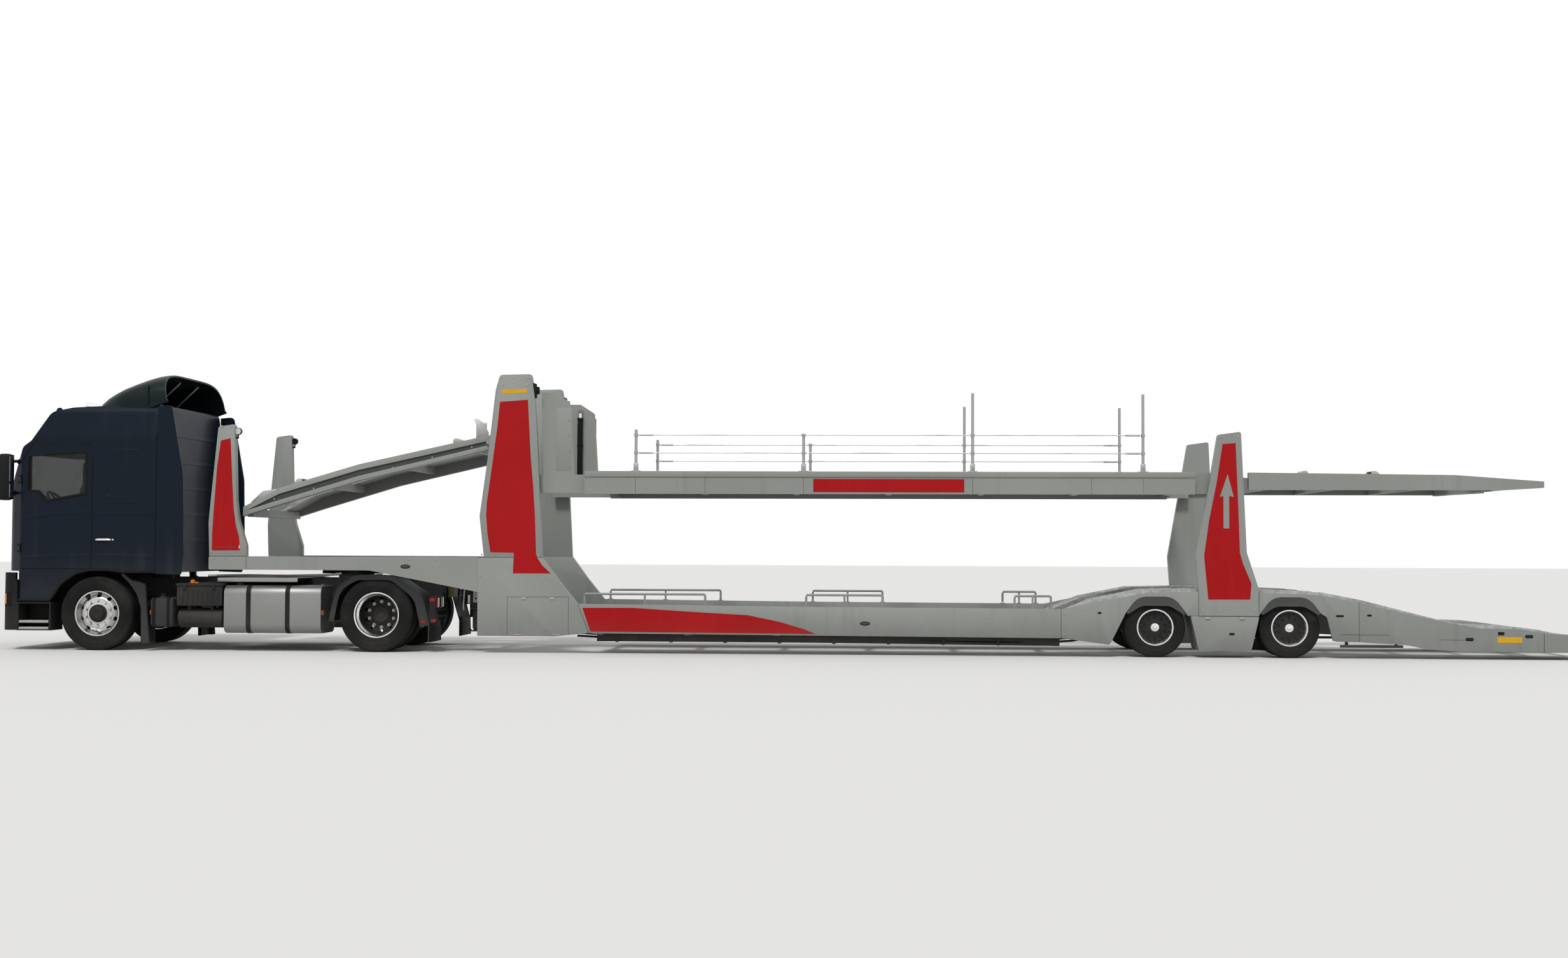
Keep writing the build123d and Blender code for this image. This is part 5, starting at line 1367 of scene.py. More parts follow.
shell = bmesh.new()
skins = []
for inset in (0.0, 0.022):
    rings = []
    for x, top in TOP:
        half = 0.82 + 0.34 * min(1.0, max(0.0, (x + 0.165) / 0.42)) ** 0.6
        rings.append(deflector_ring(shell, x + (inset if x < 0 else 0), top, half, inset))
    skins.append(rings)
for rings in (*skins, [s[-1] for s in skins], [s[0] for s in skins],
              [[r[0] for r in s] for s in skins], [[r[-1] for r in s] for s in skins]):
    skin(shell, rings, around=False, ends=False)
bmesh.ops.remove_doubles(shell, verts=shell.verts[:], dist=1e-5)
fin = bmesh.new()
tube(fin, curve(mm(595, -1125, 3470, 600, -1150, 3380, 612, -1158, 3280, 600, -1152, 3170, size=3), 6),
     0.016, 10)
tube(fin, curve(mm(600, -1152, 3172, 700, -1155, 3200, 800, -1150, 3245, 870, -1146, 3278, size=3), 6),
     0.012, 10)
piece("deflector_shell", join(shell, both_sides(fin)), "deflector", "cab", "roof_deflector", soft=60)
stays = bmesh.new()
for y in (-0.7, 0.0, 0.7):
    tube(stays, [(0.2, y, 3.2), (0.62, y, 3.6)], 0.014, 8)
    bar(stays, (0.18, y, 3.2), (0.18, y, 3.24), 0.03, 14)
piece("deflector_stays", stays, "steel", "cab")
print("face and roof")

# %% [markdown]
# ## Tank, straps and catwalk
# The fuel tank is brushed alloy with rounded edges, pressed ends and a filler cap on top. Two steel straps
# with rubber under them hold it. Above it a chequered plate lets the driver walk behind the cab; its small
# raised bars are a run of copies in two directions.


# %% Tank bodies
def tank_ring(bm, x, inset):
    """A rounded section of the left tank at x, moved inwards by inset."""
    y0, y1, z0, z1, r = 0.59 + inset, 1.258 - inset, 0.235 + inset, 0.855 - inset, 0.11
    made = []
    for cy, cz, start in ((y1 - r, z1 - r, 0), (y0 + r, z1 - r, 1), (y0 + r, z0 + r, 2), (y1 - r, z0 + r, 3)):
        for k in range(7):
            a = (start + k / 6) * pi / 2
            made.append(bm.verts.new((x, -(cy + r * cos(a)), cz + r * sin(a))))
    return made


tank = bmesh.new()
ends = mm(1705, 30, 1694, 26, 1690, 12, 1693, 3, 1700, 0, 2960, 0, 2967, 3, 2970, 12, 2966, 26, 2955, 30)
skin(tank, [tank_ring(tank, x, inset) for x, inset in ends])
for x in (1.8, 2.86):
    bar(tank, (x, -0.8, 0.852), (x, -0.8, 0.868), 0.03, 20)
pair("fuel_tank_shells", tank, "tank", "tractor", "fuel_tanks", soft=40)
fit = bmesh.new()
bar(fit, (1.86, -1.1, 0.845), (1.86, -1.1, 0.878), 0.052, 28)
bar(fit, (1.86, -1.1, 0.878), (1.86, -1.1, 0.892), 0.04472, 8)
for x in (2.015, 2.53):
    for z in (0.862, 0.228):
        box(fit, about(x, 0.022), about(-0.66, 0.018), about(z, 0.008), 0.003)
    bar(fit, (x, -0.64, 0.87), (x, -0.64, 0.9), 0.009, 10)
pair("tank_caps", fit, "black", "tractor")
mark = boxes(bmesh.new(),
             2972, 2984, -1235, -1160, 475, 535, 4,
             714, 722, -1250, -1195, 470, 525, 3)
pair("orange_reflectors", mark, "amber", "tractor")

# %% Chequered walkway
walk = boxes(bmesh.new(),
             1560, 2620, -1120, -475, 946, 952, 2,
             1560, 2620, -375, 375, 946, 952, 2)
plate(walk, mm(1560, 952, 2620, 952, 2620, 905, 2600, 900, 1580, 900, 1560, 905), -1.124, -1.119, 0.0015)
marks = [walk]
for x, y, columns, rows in (((1.58, 1.606), (-1.098, -1.094), 20, 14),
                            ((1.617, 1.621), (-1.088, -1.062), 19, 13)):
    row = repeated(box(bmesh.new(), x, y, (0.9515, 0.954)), RUN, "tank", Count=columns, Step=(0.052, 0, 0))
    marks.append(repeated(row, RUN, "tank", Count=rows, Step=(0, 0.045, 0)))
piece("walkway_plate", join(*marks), "steel", "tractor", soft=40)
rest = bmesh.new()
for x in (1.6, 2.08, 2.56):
    box(rest, about(x, 0.02), (-1.1, -0.462), (0.918, 0.946), 0.003)
    plate(rest, [(x - 0.018, 0.946), (x + 0.018, 0.946), (x + 0.018, 0.7), (x - 0.018, 0.7)], -0.47, -0.4605,
          0.001)
piece("walkway_arms", rest, "chassis", "tractor")
air_line = bmesh.new()
tube(air_line, curve(mm(1400, -1020, 975, 1900, -1030, 985, 2400, -1020, 980, 3020, -1000, 995,
                        3160, -980, 1010, size=3), 6), 0.016, 10)
tube(air_line, curve([(1.45, -0.94, 0.97), (2.0, -0.95, 0.975), (2.7, -0.93, 0.97), (3.1, -0.92, 1.0)], 6),
     0.01, 8)
piece("air_lines", air_line, "tank", "tractor")

# %% [markdown]
# ## Boxes beside the frame
# Behind the front wheel hang a small additive tank with its filler cap, then the battery box with a ribbed
# lid, and two air reservoirs under it. On the other side sits the silencer in a perforated heat shield.

# %% Battery box, additive tank and reservoirs
side_box = boxes(bmesh.new(),
                 1055, 1665, -1240, -460.5, 585, 845, 22,
                 1045, 1675, -1246, -470, 838, 880, 14)
piece("battery_box", side_box, "chassis", "tractor", "side_boxes")
rib = box(bmesh.new(), (1.12, 1.145), (-1.249, -1.235), (0.62, 0.8), 0.005)
ribs = repeated(rib, RUN, "chassis", Count=8, Step=(0.066, 0, 0))
box(ribs, (1.16, 1.56), (-1.1, -0.6), (0.879, 0.886), 0.003)
for x in (1.17, 1.55):
    box(ribs, about(x, 0.02), (-1.256, -1.24), (0.8, 0.87), 0.004)
piece("battery_box_ribs", ribs, "chassis", "tractor")
orange = bmesh.new()
bar(orange, (1.235, -1.13, 0.878), (1.235, -1.13, 0.915), 0.032, 18)
bar(orange, (1.235, -1.13, 0.915), (1.235, -1.13, 0.925), 0.022, 18)
box(orange, (1.27, 1.31), (-1.15, -1.11), (0.878, 0.895), 0.004)
piece("battery_switch", orange, "amber", "tractor")
small = bmesh.new()
box(small, (0.7, 1.015), (-1.235, -0.4605), (0.31, 0.69), 0.045)
bar(small, (0.86, -1.16, 0.68), (0.86, -1.16, 0.706), 0.05, 24)
piece("additive_tank", small, "grey", "tractor")
cap = bmesh.new()
bar(cap, (0.86, -1.16, 0.704), (0.86, -1.16, 0.745), 0.04, 12)
for x in (0.76, 0.95):
    box(cap, about(x, 0.018), (-1.2385, -0.47), (0.688, 0.694), 0.002)
    box(cap, about(x, 0.018), (-1.241, -1.2345), (0.32, 0.69), 0.002)
piece("additive_tank_straps", cap, "trim", "tractor")
cans = bmesh.new()
for y in (-1.09, -0.79):
    for x0, x1, r in mm(1060, 1075, 90, 1066, 1090, 115, 1075, 1645, 124.8, 1630, 1654, 115, 1645, 1660, 90,
                        size=3):
        bar(cans, (x0, y, 0.425), (x1, y, 0.425), r, 40)
    for x in (1.2, 1.5):
        bar(cans, (x - 0.018, y, 0.425), (x + 0.018, y, 0.425), 0.1275, 40)
        box(cans, about(x, 0.02), about(y, 0.06), (0.52, 0.5845), 0.004)
    bar(cans, (1.36, y, 0.3), (1.36, y, 0.285), 0.014, 8)
    tube(cans, curve([(1.64, y, 0.48), (1.69, y + 0.02, 0.52), (1.68, y + 0.12, 0.62), (1.6, y + 0.2, 0.66)],
                     5), 0.008, 8)
piece("air_reservoirs", cans, "chassis", "tractor", "air_tanks")
muffler = boxes(bmesh.new(),
                700, 1665, 460.5, 1215, 320, 860, 60,
                760, 1600, 1212, 1232, 390, 790, 8)
bar(muffler, (0.72, 0.6, 0.3), (0.72, 0.6, 0.4), 0.06, 28)
piece("silencer", muffler, "steel", "tractor")
slot = bmesh.new()
plate(slot, pill(0.825, 0.45, 0.05, 0.012), 1.2316, 1.233)
slots = repeated(slot, RUN, "trim", Count=11, Step=(0.07, 0, 0))
piece("silencer_slots", repeated(slots, RUN, "trim", Count=10, Step=(0, 0, 0.032)), "trim", "tractor")

# %% [markdown]
# ## Mudguards, flaps and lamps of the tractor
# The drive wheels' guards are moulded with a turned-down lip. Behind each one is a lamp box with red lamps,
# and a rubber flap that hangs from a steel bar. The front guard has a bead along its outer edge.

# %% Guard lips, lamp boxes and flaps
lip_line = mm(3080, 400, 3150, 740, 3250, 885, 3430, 985, 3560, 992, 3880, 990, 4040, 905, 4270, 740, 4360,
              470, 4388, 350)
lip_line = [tuple(p) for p in curve([(x, 0, z) for x, z in lip_line], 4)]
outer = [(p[0], p[2]) for p in lip_line]
inner = []
for i, (x, z) in enumerate(outer):
    a, b = Vector(outer[max(i - 1, 0)]), Vector(outer[min(i + 1, len(outer) - 1)])
    way = (b - a).normalized()
    wide = 0.06 + 0.06 * max(0.0, (x - 3.9) / 0.5)
    inner.append((x + way.y * wide, z - way.x * wide))
lips = plate(bmesh.new(), outer + inner[::-1], -1.258, -1.244, 0.004)
tube(lips, [(x, -1.256, z) for x, z in outer], 0.007, 8)
pair("drive_guard_lips", lips, "grey", "tractor")
lamp_box, reds, clear = bmesh.new(), bmesh.new(), bmesh.new()
boxes(lamp_box,
      4402, 4458, -1235, -740, 565, 720, 12,
      4392, 4470, -1256.5, -1236, 370, 700, 8)
for z0, z1, x in ((0.655, 0.7, 4.43), (0.392, 0.432, 4.45)):
    box(reds, (x - 0.035, x + 0.03), (-1.263, -1.255), (z0, z1), 0.003)
boxes(reds,
      4290, 4340, -1263, -1256, 370, 410, 3,
      4456, 4468, -1225, -1010, 580, 705, 6)
box(clear, (4.456, 4.468), (-0.87, -0.755), (0.58, 0.705), 0.006)
pair("tractor_lamp_boxes", lamp_box, "black", "tractor")
pair("tractor_red_lamps", reds, "lamp_red", "tractor")
pair("tractor_reverse_lamps", clear, "white", "tractor")
flaps = bmesh.new()
plate(flaps, mm(4389, 400, 4401, 400, 4412, 135, 4400, 132), -1.25, -0.64, 0.003)
for z in (0.18, 0.22, 0.26, 0.3):
    plate(flaps, [(4.4, z), (4.414, z - 0.004), (4.414, z + 0.008), (4.4, z + 0.012)], -1.2, -0.69, 0.001)
plate(flaps, mm(628, 420, 640, 420, 652, 105, 640, 102), -1.255, -0.87, 0.003)
pair("tractor_mudflaps", flaps, "trim", "tractor")
bead = bmesh.new()
tube(bead, [(x, -1.258, z) for x, z in mm(345, 1002, 470, 912, 565, 893, 650, 870, 680, 500, 712, 105)],
     0.008, 8)
tube(bead, [(x, -1.258, z) for x, z in mm(335, 985, 440, 880, 540, 740, 598, 560, 607, 105)], 0.006, 8)
pair("front_guard_beads", bead, "black", "tractor")
plate_bm = boxes(bmesh.new(),
                 4421, 4427, -260, 260, 700, 815, 2,
                 4420.5, 4423.5, -280, 280, 690, 825, 1)
piece("rear_blank_plate", plate_bm, "faded_plate", "tractor")

# %% [markdown]
# ## Springs, bellows and brakes
# The front springs are stacks of leaves clamped by U-bolts. The air bellows behind have rolled folds. The
# drive axle carries brake chambers, and shock absorbers stand beside the frame.


# %% Suspension parts
def bellows(bm, x, y, z0, z1, radius, folds):
    """A rubber air spring: a few rolled folds between two plates."""
    profile = [(z0, radius * 0.55), (z0, radius * 0.9), (z0 + 0.012, radius * 0.92)]
    height = (z1 - z0 - 0.03) / folds
    for k in range(folds):
        base = z0 + 0.015 + k * height
        for t in (0.12, 0.3, 0.5, 0.7, 0.88):
            profile.append((base + height * t, radius * (0.9 + 0.1 * sin(pi * t))))
    profile += [(z1 - 0.012, radius * 0.92), (z1, radius * 0.9), (z1, radius * 0.55)]
    rings = [[bm.verts.new((x + r * cos(a), y + r * sin(a), z)) for a in angles(32)]
             for z, r in profile]
    return skin(bm, rings)


for body, stations, (y, z0, z1, r, folds) in (("tractor", (3.26, 4.12), (-0.44, 0.405, 0.6895, 0.122, 3)),
                                              ("trailer", (13.875, 15.565), (-0.6, 0.462, 0.5895, 0.106, 2))):
    bags = bmesh.new()
    for x in stations:
        bellows(bags, x, y, z0, z1, r, folds)
    pair(f"air_springs_{body}", bags, "rubber", body)
springs = bmesh.new()
for k in range(4):
    drop, reach = 0.012 + k * 0.016, 0.62 - k * 0.13
    end_z, half_z, mid_z = 0.62 - 0.052 * k, 0.542 - 0.02 * k, 0.512 - 0.001 * k
    path = [(-reach, end_z), (-reach / 2, half_z), (0, mid_z), (reach / 2, half_z), (reach, end_z)]
    plate(springs, path + [(x, z + 0.013) for x, z in path[::-1]], -0.462, -0.388)
for x in (-0.05, 0.05):
    tube(springs, [(x, -0.478, 0.4), (x, -0.478, 0.56), (x, -0.372, 0.56), (x, -0.372, 0.4)], 0.009, 8)
for x in (-0.3, 3.55):
    bar(springs, (x, -0.5, 0.45), (x + 0.1, -0.5, 0.8), 0.03, 20)
    bar(springs, (x + 0.05, -0.5, 0.61), (x + 0.11, -0.5, 0.83), 0.038, 20)
pair("tractor_leaves", springs, "cast", "tractor")
chambers = bmesh.new()
for x0, x1, r in ((3.32, 3.44, 0.075), (3.44, 3.455, 0.086), (3.455, 3.57, 0.07)):
    bar(chambers, (x0, -0.57, 0.6), (x1, -0.57, 0.6), r, 28)
pair("tractor_brake_chambers", chambers, "chassis", "tractor")
print("chassis")

# %% [markdown]
# ## Decks
# The decks are folded steel channels with wheel tracks of perforated plate, so that rain and mud fall
# through and a strap can be hooked anywhere. The slots are dark pills repeated by Geometry Nodes, and each
# track has turned-up edges that keep a car's wheels on it.


# %% Track slots and edges
PITCH, LIP = 0.14, 0.035


def track_dress(name, body, y0, y1, rows, path):
    """Slots in a wheel track whose top follows (x, z) points, and the track's turned-up edges."""
    holes, lips = [], bmesh.new()
    for (xa, za), (xb, zb) in zip(path, path[1:]):
        length, rise = hypot(xb - xa, zb - za), atan2(zb - za, xb - xa)
        count = max(1, int(length / PITCH) - 1)
        start = (length - (count - 1) * PITCH) / 2
        spot = Vector((xa + cos(rise) * start, 0, za + sin(rise) * start))
        slot = bmesh.new()
        for row in range(rows):
            y = y0 + (y1 - y0) * (row + 0.5) / rows
            shift = PITCH / 2 * (row % 2)
            ring = [Vector((px, py, 0.0006)) for px, py in pill(shift - PITCH / 4, -y, 0.062, 0.024, 4)]
            low = [slot.verts.new(p - Vector((0, 0, 0.0012))) for p in ring]
            high = [slot.verts.new(p) for p in ring]
            skin(slot, [low, high])
        place = Matrix.Translation(spot) @ Matrix.Rotation(-rise, 4, "Y")
        bmesh.ops.transform(slot, matrix=place, verts=slot.verts[:])
        holes.append(repeated(slot, RUN, "trim", Count=count, Step=(cos(rise) * PITCH, 0, sin(rise) * PITCH)))
    top = [(x, z - 0.001) for x, z in path]
    for y in (y0 + 0.003, y1 - 0.008):
        plate(lips, top + [(x, z + LIP) for x, z in top[::-1]], -y - 0.005, -y)
    pair(f"{name}_slots", join(*holes), "trim", body)
    pair(f"{name}_lips", lips, "deck", body)


# name, body, inner y, outer y, rows of slots, the track's top line
track_dress("main_deck", "deck_main", 0.44, 1.17, 5, [(6.4, 2.22), (14.205, 2.22)])
track_dress("front_deck", "deck_front", 0.44, 1.025, 4,
            mm(1900, 1830, 2380, 2080, 3420, 2395, 5150, 2780))
track_dress("rear_deck", "deck_rear", 0.44, 1.17, 5, [(15.11, 2.26), (17.4, 2.25), (18.555, 2.2)])
track_dress("lower_deck", "trailer", 0.44, 1.17, 5,
            mm(6500, 400, 12250, 400, 12950, 690, 13600, 822, 14300, 838, 15000, 835, 15800, 800, 16300, 705,
               17270, 460, 17700, 388, 18200, 380, 18540, 338))

# %% Channel flanges of the front deck
top_edge = mm(1893, 1880, 2371, 2130, 3420, 2440, 4300, 2636, 5195, 2838)
low_edge = mm(1893, 1755, 2355, 1902, 3420, 2225, 4300, 2432, 5175, 2640)
flanges = bmesh.new()
for line, drop in ((top_edge, 0.072), (low_edge, -0.06)):
    band = [(x, z + (0.003 if drop < 0 else -0.003)) for x, z in line]
    plate(flanges, band + [(x, z - drop) for x, z in band[::-1]], -1.15, -1.128, 0.004)
pair("front_deck_flanges", flanges, "trailer", "deck_front")
# painted shade: the web between the flanges takes the darker arch finish for the shade inside the channel
web = bmesh.new()
upper, lower = [(x, z - 0.076) for x, z in top_edge], [(x, z + 0.064) for x, z in low_edge]
plate(web, upper + lower[::-1], -1.1312, -1.13)
pair("front_deck_shaded_web", web, "arch", "deck_front")
bolt = bmesh.new()
bar(bolt, (2.3, -1.131, 1.985), (2.3, -1.138, 1.985), 0.01, 6)
row = repeated(bolt, RUN, "steel", Count=6, Step=(0.52, 0, 0.1365))
pair("front_deck_bolts", row, "steel", "deck_front")

# %% [markdown]
# ## Stops, flap and posts on the decks
# A short ramp flap closes the low end of the front deck, and wheel stops stand at its high end. Chocks lie
# on the tracks. The rope posts have foot brackets with clamps, and the taut ropes pass through eyes.

# %% Flap, stops and chocks
flap = plate(bmesh.new(), mm(1935, 1862, 2330, 2072, 2325, 2090, 1930, 1905, 1905, 1885),
             -1.02, -0.45, 0.003)
for y in (-0.98, -0.75, -0.5):
    plate(flap, mm(1940, 1870, 2300, 2060, 2280, 2120, 2100, 2090, 1950, 1950), y - 0.004, y + 0.004, 0.001)
pair("front_flap", flap, "steel", "deck_front")

CHOCK_IN = 0.62


def chock(bm, x, z, rise, y1, height, facing):
    """A wedge of folded sheet with an arched face, standing on a track at (x, z)."""
    shape = [(0, 0), (0.2, 0), (0.2, 0.02), (0.13, height * 0.55), (0.06, height), (0.02, height),
             (0.0, height * 0.8)]
    turn = Matrix.Rotation(rise, 2)
    points = [Vector((px * facing, pz)) for px, pz in shape]
    corners = [tuple(Vector((x, z)) + turn @ p) for p in points]
    plate(bm, corners, -y1, -y1 + 0.006, 0.001)
    plate(bm, corners, -CHOCK_IN - 0.006, -CHOCK_IN, 0.001)
    lower = Vector((0.0, -0.004))
    face = [tuple(Vector((x, z)) + turn @ (p + lower)) for p in points[2:6]]
    plate(bm, face + [(fx - 0.004 * facing, fz - 0.005) for fx, fz in face[::-1]], -y1 + 0.003,
          -CHOCK_IN - 0.003)
    for px, pz in ((0.03, 0.03), (0.15, 0.025)):
        spot = Vector((x, z)) + turn @ Vector((px * facing, pz))
        bar(bm, (spot.x, -y1 - 0.012, spot.y), (spot.x, -CHOCK_IN + 0.012, spot.y), 0.008, 10)
    return bm


stops = bmesh.new()
chock(stops, 2.62, 2.154, 0.292, 0.9, 0.12, -1)
chock(stops, 4.62, 2.664, 0.22, 0.9, 0.12, 1)
box(stops, (4.93, 5.06), (-1.012, -0.96), (2.735, 2.99), 0.004)
plate(stops, mm(4920, 2745, 5080, 2780, 5100, 2860, 5020, 2990, 4950, 3045, 4900, 3035, 4955, 2930), -1.02,
      -1.01, 0.002)
pair("front_deck_stops", stops, "steel", "deck_front")
for name, body, z, places in (("main_deck", "deck_main", 2.221, (7.35, 8.15, 9.9, 10.75, 12.2, 13.0)),
                              ("lower_deck", "trailer", 0.401, (7.2, 8.0, 10.9, 11.7)),
                              ("rear_deck", "deck_rear", 2.2585, (15.7, 16.5))):
    chocks = bmesh.new()
    for k, x in enumerate(places):
        chock(chocks, x, z, 0.0, 0.92, 0.13, 2 * (k % 2) - 1)
    pair(f"{name}_chocks", chocks, "steel", body)

# %% Posts, feet and taut ropes
RAIL_Y, DECK_EDGE_Z = -1.225, 2.3523
posts, ropes = bmesh.new(), bmesh.new()
for k, top in enumerate((2.89, 2.83, 3.36, 3.345)):
    x = 7.06 + 6.495 * k / 3
    path = [(x, RAIL_Y, DECK_EDGE_Z), (x, RAIL_Y, top - 0.02), (x, RAIL_Y, top)]
    tube(posts, path, 0.019, 14)
    box(posts, about(x, 0.06), (-1.258, -1.192), (DECK_EDGE_Z, 2.362), 0.003)
    box(posts, about(x, 0.03), (-1.25, -1.2), (2.36, 2.455), 0.005)
    bar(posts, (x, -1.268, 2.41), (x, -1.196, 2.41), 0.009, 6)
    for z in (2.59, 2.82):
        if z < top - 0.005:
            bar(posts, (x, RAIL_Y, z - 0.018), (x, RAIL_Y, z + 0.018), 0.026, 16)
            bar(posts, (x, -1.246, z), (x, -1.258, z), 0.01, 8)
for z in (2.59, 2.82):
    tube(ropes, [(7.06, RAIL_Y, z), (9.225, -1.226, z), (11.39, RAIL_Y, z), (13.555, RAIL_Y, z)], 0.0065, 8)
for x, z, way in ((7.06, 2.59, 1), (13.555, 2.82, -1), (13.555, 2.59, -1), (7.06, 2.82, 1)):
    bar(ropes, (x + 0.04 * way, RAIL_Y, z), (x + 0.22 * way, RAIL_Y, z), 0.012, 10)
pair("rope_posts", posts, "steel", "deck_main", "deck_main_posts")
pair("taut_ropes", ropes, "deck", "deck_main")

# %% Guard rails of the lower deck
rails = bmesh.new()
for x0, x1 in ((6.39, 7.98), (9.25, 10.26), (11.91, 12.4)):
    middle = (x0 + x1) / 2
    hoop = [(x0 + 0.015, 0.625), (x0 + 0.015, 0.75), (x0 + 0.02, 0.763), (x0 + 0.033, 0.769),
            (x1 - 0.033, 0.769), (x1 - 0.02, 0.763), (x1 - 0.015, 0.75), (x1 - 0.015, 0.612)]
    tube(rails, [(x, RAIL_Y, z) for x, z in hoop], 0.015, 12)
    bar(rails, (middle, RAIL_Y, 0.613), (middle, RAIL_Y, 0.77), 0.013, 12)
    for x in (x0 + 0.015, middle, x1 - 0.015):
        foot = 0.6383 - (x - 6.322) * 0.0079 if x < 9.232 else 0.6153 - (x - 9.232) * 0.00275
        box(rails, about(x, 0.032), (-1.25, -1.2), (foot, foot + 0.008), 0.002)
pair("low_guard_rails", rails, "trailer", "trailer", "guard_rails")
print("decks")

# %% [markdown]
# ## Padded seats and bunk
# A seat pad is foam under stretched cloth: its faces crown, its sides pull in between the corners, and the
# sewn channels sink. So each pad starts as a rounded block, is blown up a little as simulated cloth, and
# then its seams are pressed in.


# %% Pads blown up as cloth
def soft_block(half, power=5.0, cuts=9, crown=0.0):
    """A block with softly rounded edges and half sizes half; its top rises by crown."""
    bm = bmesh.new()
    bmesh.ops.create_cube(bm, size=2)
    bmesh.ops.subdivide_edges(bm, edges=bm.edges[:], cuts=cuts, use_grid_fill=True)
    for v in bm.verts:
        norm = sum(abs(c) ** power for c in v.co) ** (1 / power)
        u = v.co / norm
        v.co = Vector([u[i] * half[i] for i in range(3)])
        v.co.z += crown * max(0, u.z) * (1 - u.x ** 2) * (1 - u.y ** 2)
    return bm


def blown_up(bm, voxel, swell):
    """The shape as a filled pad: twenty frames of cloth under pressure, moved at most by swell."""
    thing = as_object(bm)
    remesh = thing.modifiers.new("remesh", "REMESH")
    remesh.mode, remesh.voxel_size = "VOXEL", voxel
    thing.data = meshed(thing)
    start = [v.co.copy() for v in thing.data.vertices]
    cloth = thing.modifiers.new("cloth", "CLOTH")
    cloth.settings.use_pressure = True
    cloth.settings.uniform_pressure_force = 4
    cloth.settings.effector_weights.gravity = 0
    for number in range(1, 21):
        scene.frame_set(number)
    ready = meshed(thing)
    scene.frame_set(1)
    for v, was in zip(ready.vertices, start):
        move = v.co - was
        v.co = was + move * min(1.0, swell / max(move.length, 1e-9))
    thing.data = ready
    return as_drawn(thing)


def pressed(bm, seams, depth=0.007, width=0.011):
    """Sinks the surface along sewn lines; a seam is a test that gives a point's distance from it."""
    bm.normal_update()
    moves = []
    for v in bm.verts:
        near = min(seam(v.co) for seam in seams)
        moves.append((v, v.normal * -depth * 2.718 ** -((near / width) ** 2)))
    for v, move in moves:
        v.co += move
    return bm


def smoothed(bm):
    """One level of subdivision."""
    thing = as_object(bm)
    thing.modifiers.new("smooth", "SUBSURF").levels = 1
    return as_drawn(thing)


def placed(bm, spot, lean=0.0):
    """Moves a shape drawn about the origin to a spot, leaning back by an angle."""
    turn = Matrix.Translation(spot) @ Matrix.Rotation(lean, 4, "Y")
    bmesh.ops.transform(bm, matrix=turn, verts=bm.verts[:])
    return bm


# %% Seats
SEAT_Y = 0.62


def cross_seams(places, reach):
    """Tests for lines sewn across a pad at these places, on its upper face and out to reach."""
    return [lambda p, x=x: abs(p.x - x) + 9 * (p.z < 0 or abs(p.y) > reach) for x in places]


def seat_pads():
    """Cushion, back and head rest of one seat, drawn about its own middle plane."""
    for half, power, crown, voxel, swell, edges, places, spot, lean in (
            ((0.236, 0.232, 0.06), 5.0, 0.012, 0.013, 0.01, 0.15, (0.07, -0.08), (-0.245, 0, 1.617), 0),
            ((0.3, 0.222, 0.05), 5.0, 0.01, 0.014, 0.01, 0.145, (-0.16, -0.05, 0.06, 0.17),
             (0.016, 0, 1.925), -79),
            ((0.105, 0.118, 0.042), 3.5, 0.008, 0.012, 0.008, 0.075, (), (0.092, 0, 2.322), -82)):
        seams = [lambda p: abs(abs(p.y) - edges) + 9 * (p.z < 0), *cross_seams(places, edges)]
        pad = pressed(blown_up(soft_block(half, power, crown=crown), voxel, swell), seams)
        yield placed(smoothed(pad), spot, radians(lean))


for label, shape in zip(("cushion", "back", "head_rest"), seat_pads()):
    other = shape.copy()
    for word, bm in (("left", shape), ("right", other)):
        pad = piece(f"seat_{label}_{word}", placed(bm, (0, SIDE[word] * SEAT_Y, 0)), "cloth", "cab", soft=60)
print("seats")

# %% [markdown]
# Under each cushion stands a suspended base: a folded rubber bellows between two plates, with a shell round
# the back and two posts that carry the head rest. The bunk has a mattress and a pillow on a locker.

# %% Seat bases and the bunk
bases = bmesh.new()
for y in (-SEAT_Y, SEAT_Y):
    box(bases, (-0.43, -0.05), about(y, 0.19), (1.2805, 1.3), 0.004)
    for k in range(6):
        grow = 0.018 if k % 2 else 0.0
        z = 1.3 + k * 0.04
        box(bases, (-0.405 - grow, -0.075 + grow), (y - 0.165 - grow, y + 0.165 + grow), (z, z + 0.04), 0.012)
    box(bases, (-0.45, -0.02), about(y, 0.2), (1.535, 1.572), 0.008)
    plate(bases, rounded(mm(60, 1640, 88, 1640, 160, 2215, 135, 2225), 0.01), y - 0.19, y + 0.19, 0.005)
    for dy in (-0.06, 0.06):
        bar(bases, (0.085, y + dy, 2.16), (0.098, y + dy, 2.26), 0.006, 10)
    box(bases, (-0.4, -0.02), (y + 0.252, y + 0.262), (1.53, 1.6), 0.003)
piece("seat_bases", bases, "trim", "cab", "cab_seats")
locker_form = box(bmesh.new(), (0.196, 0.712), (-1.135, 1.135), (1.2805, 1.6), 0.012)
for y in (-0.8, 0.0, 0.8):
    box(locker_form, (0.19, 0.2), about(y, 0.33), (1.32, 1.57), 0.006)
piece("bunk_locker", locker_form, "inside", "cab")
seams = [lambda p, y=y: abs(p.y - y) + 9 * (abs(p.z) < 0.03) for y in (-0.75, -0.375, 0.0, 0.375, 0.75)]
mattress = blown_up(soft_block((0.25, 1.12, 0.064), power=7.0, cuts=15), 0.028, 0.008)
mattress = pressed(mattress, seams, 0.006, 0.03)
mattress = piece("bunk_mattress", placed(smoothed(mattress), (0.452, 0, 1.672)), "bunk", "cab", soft=60)
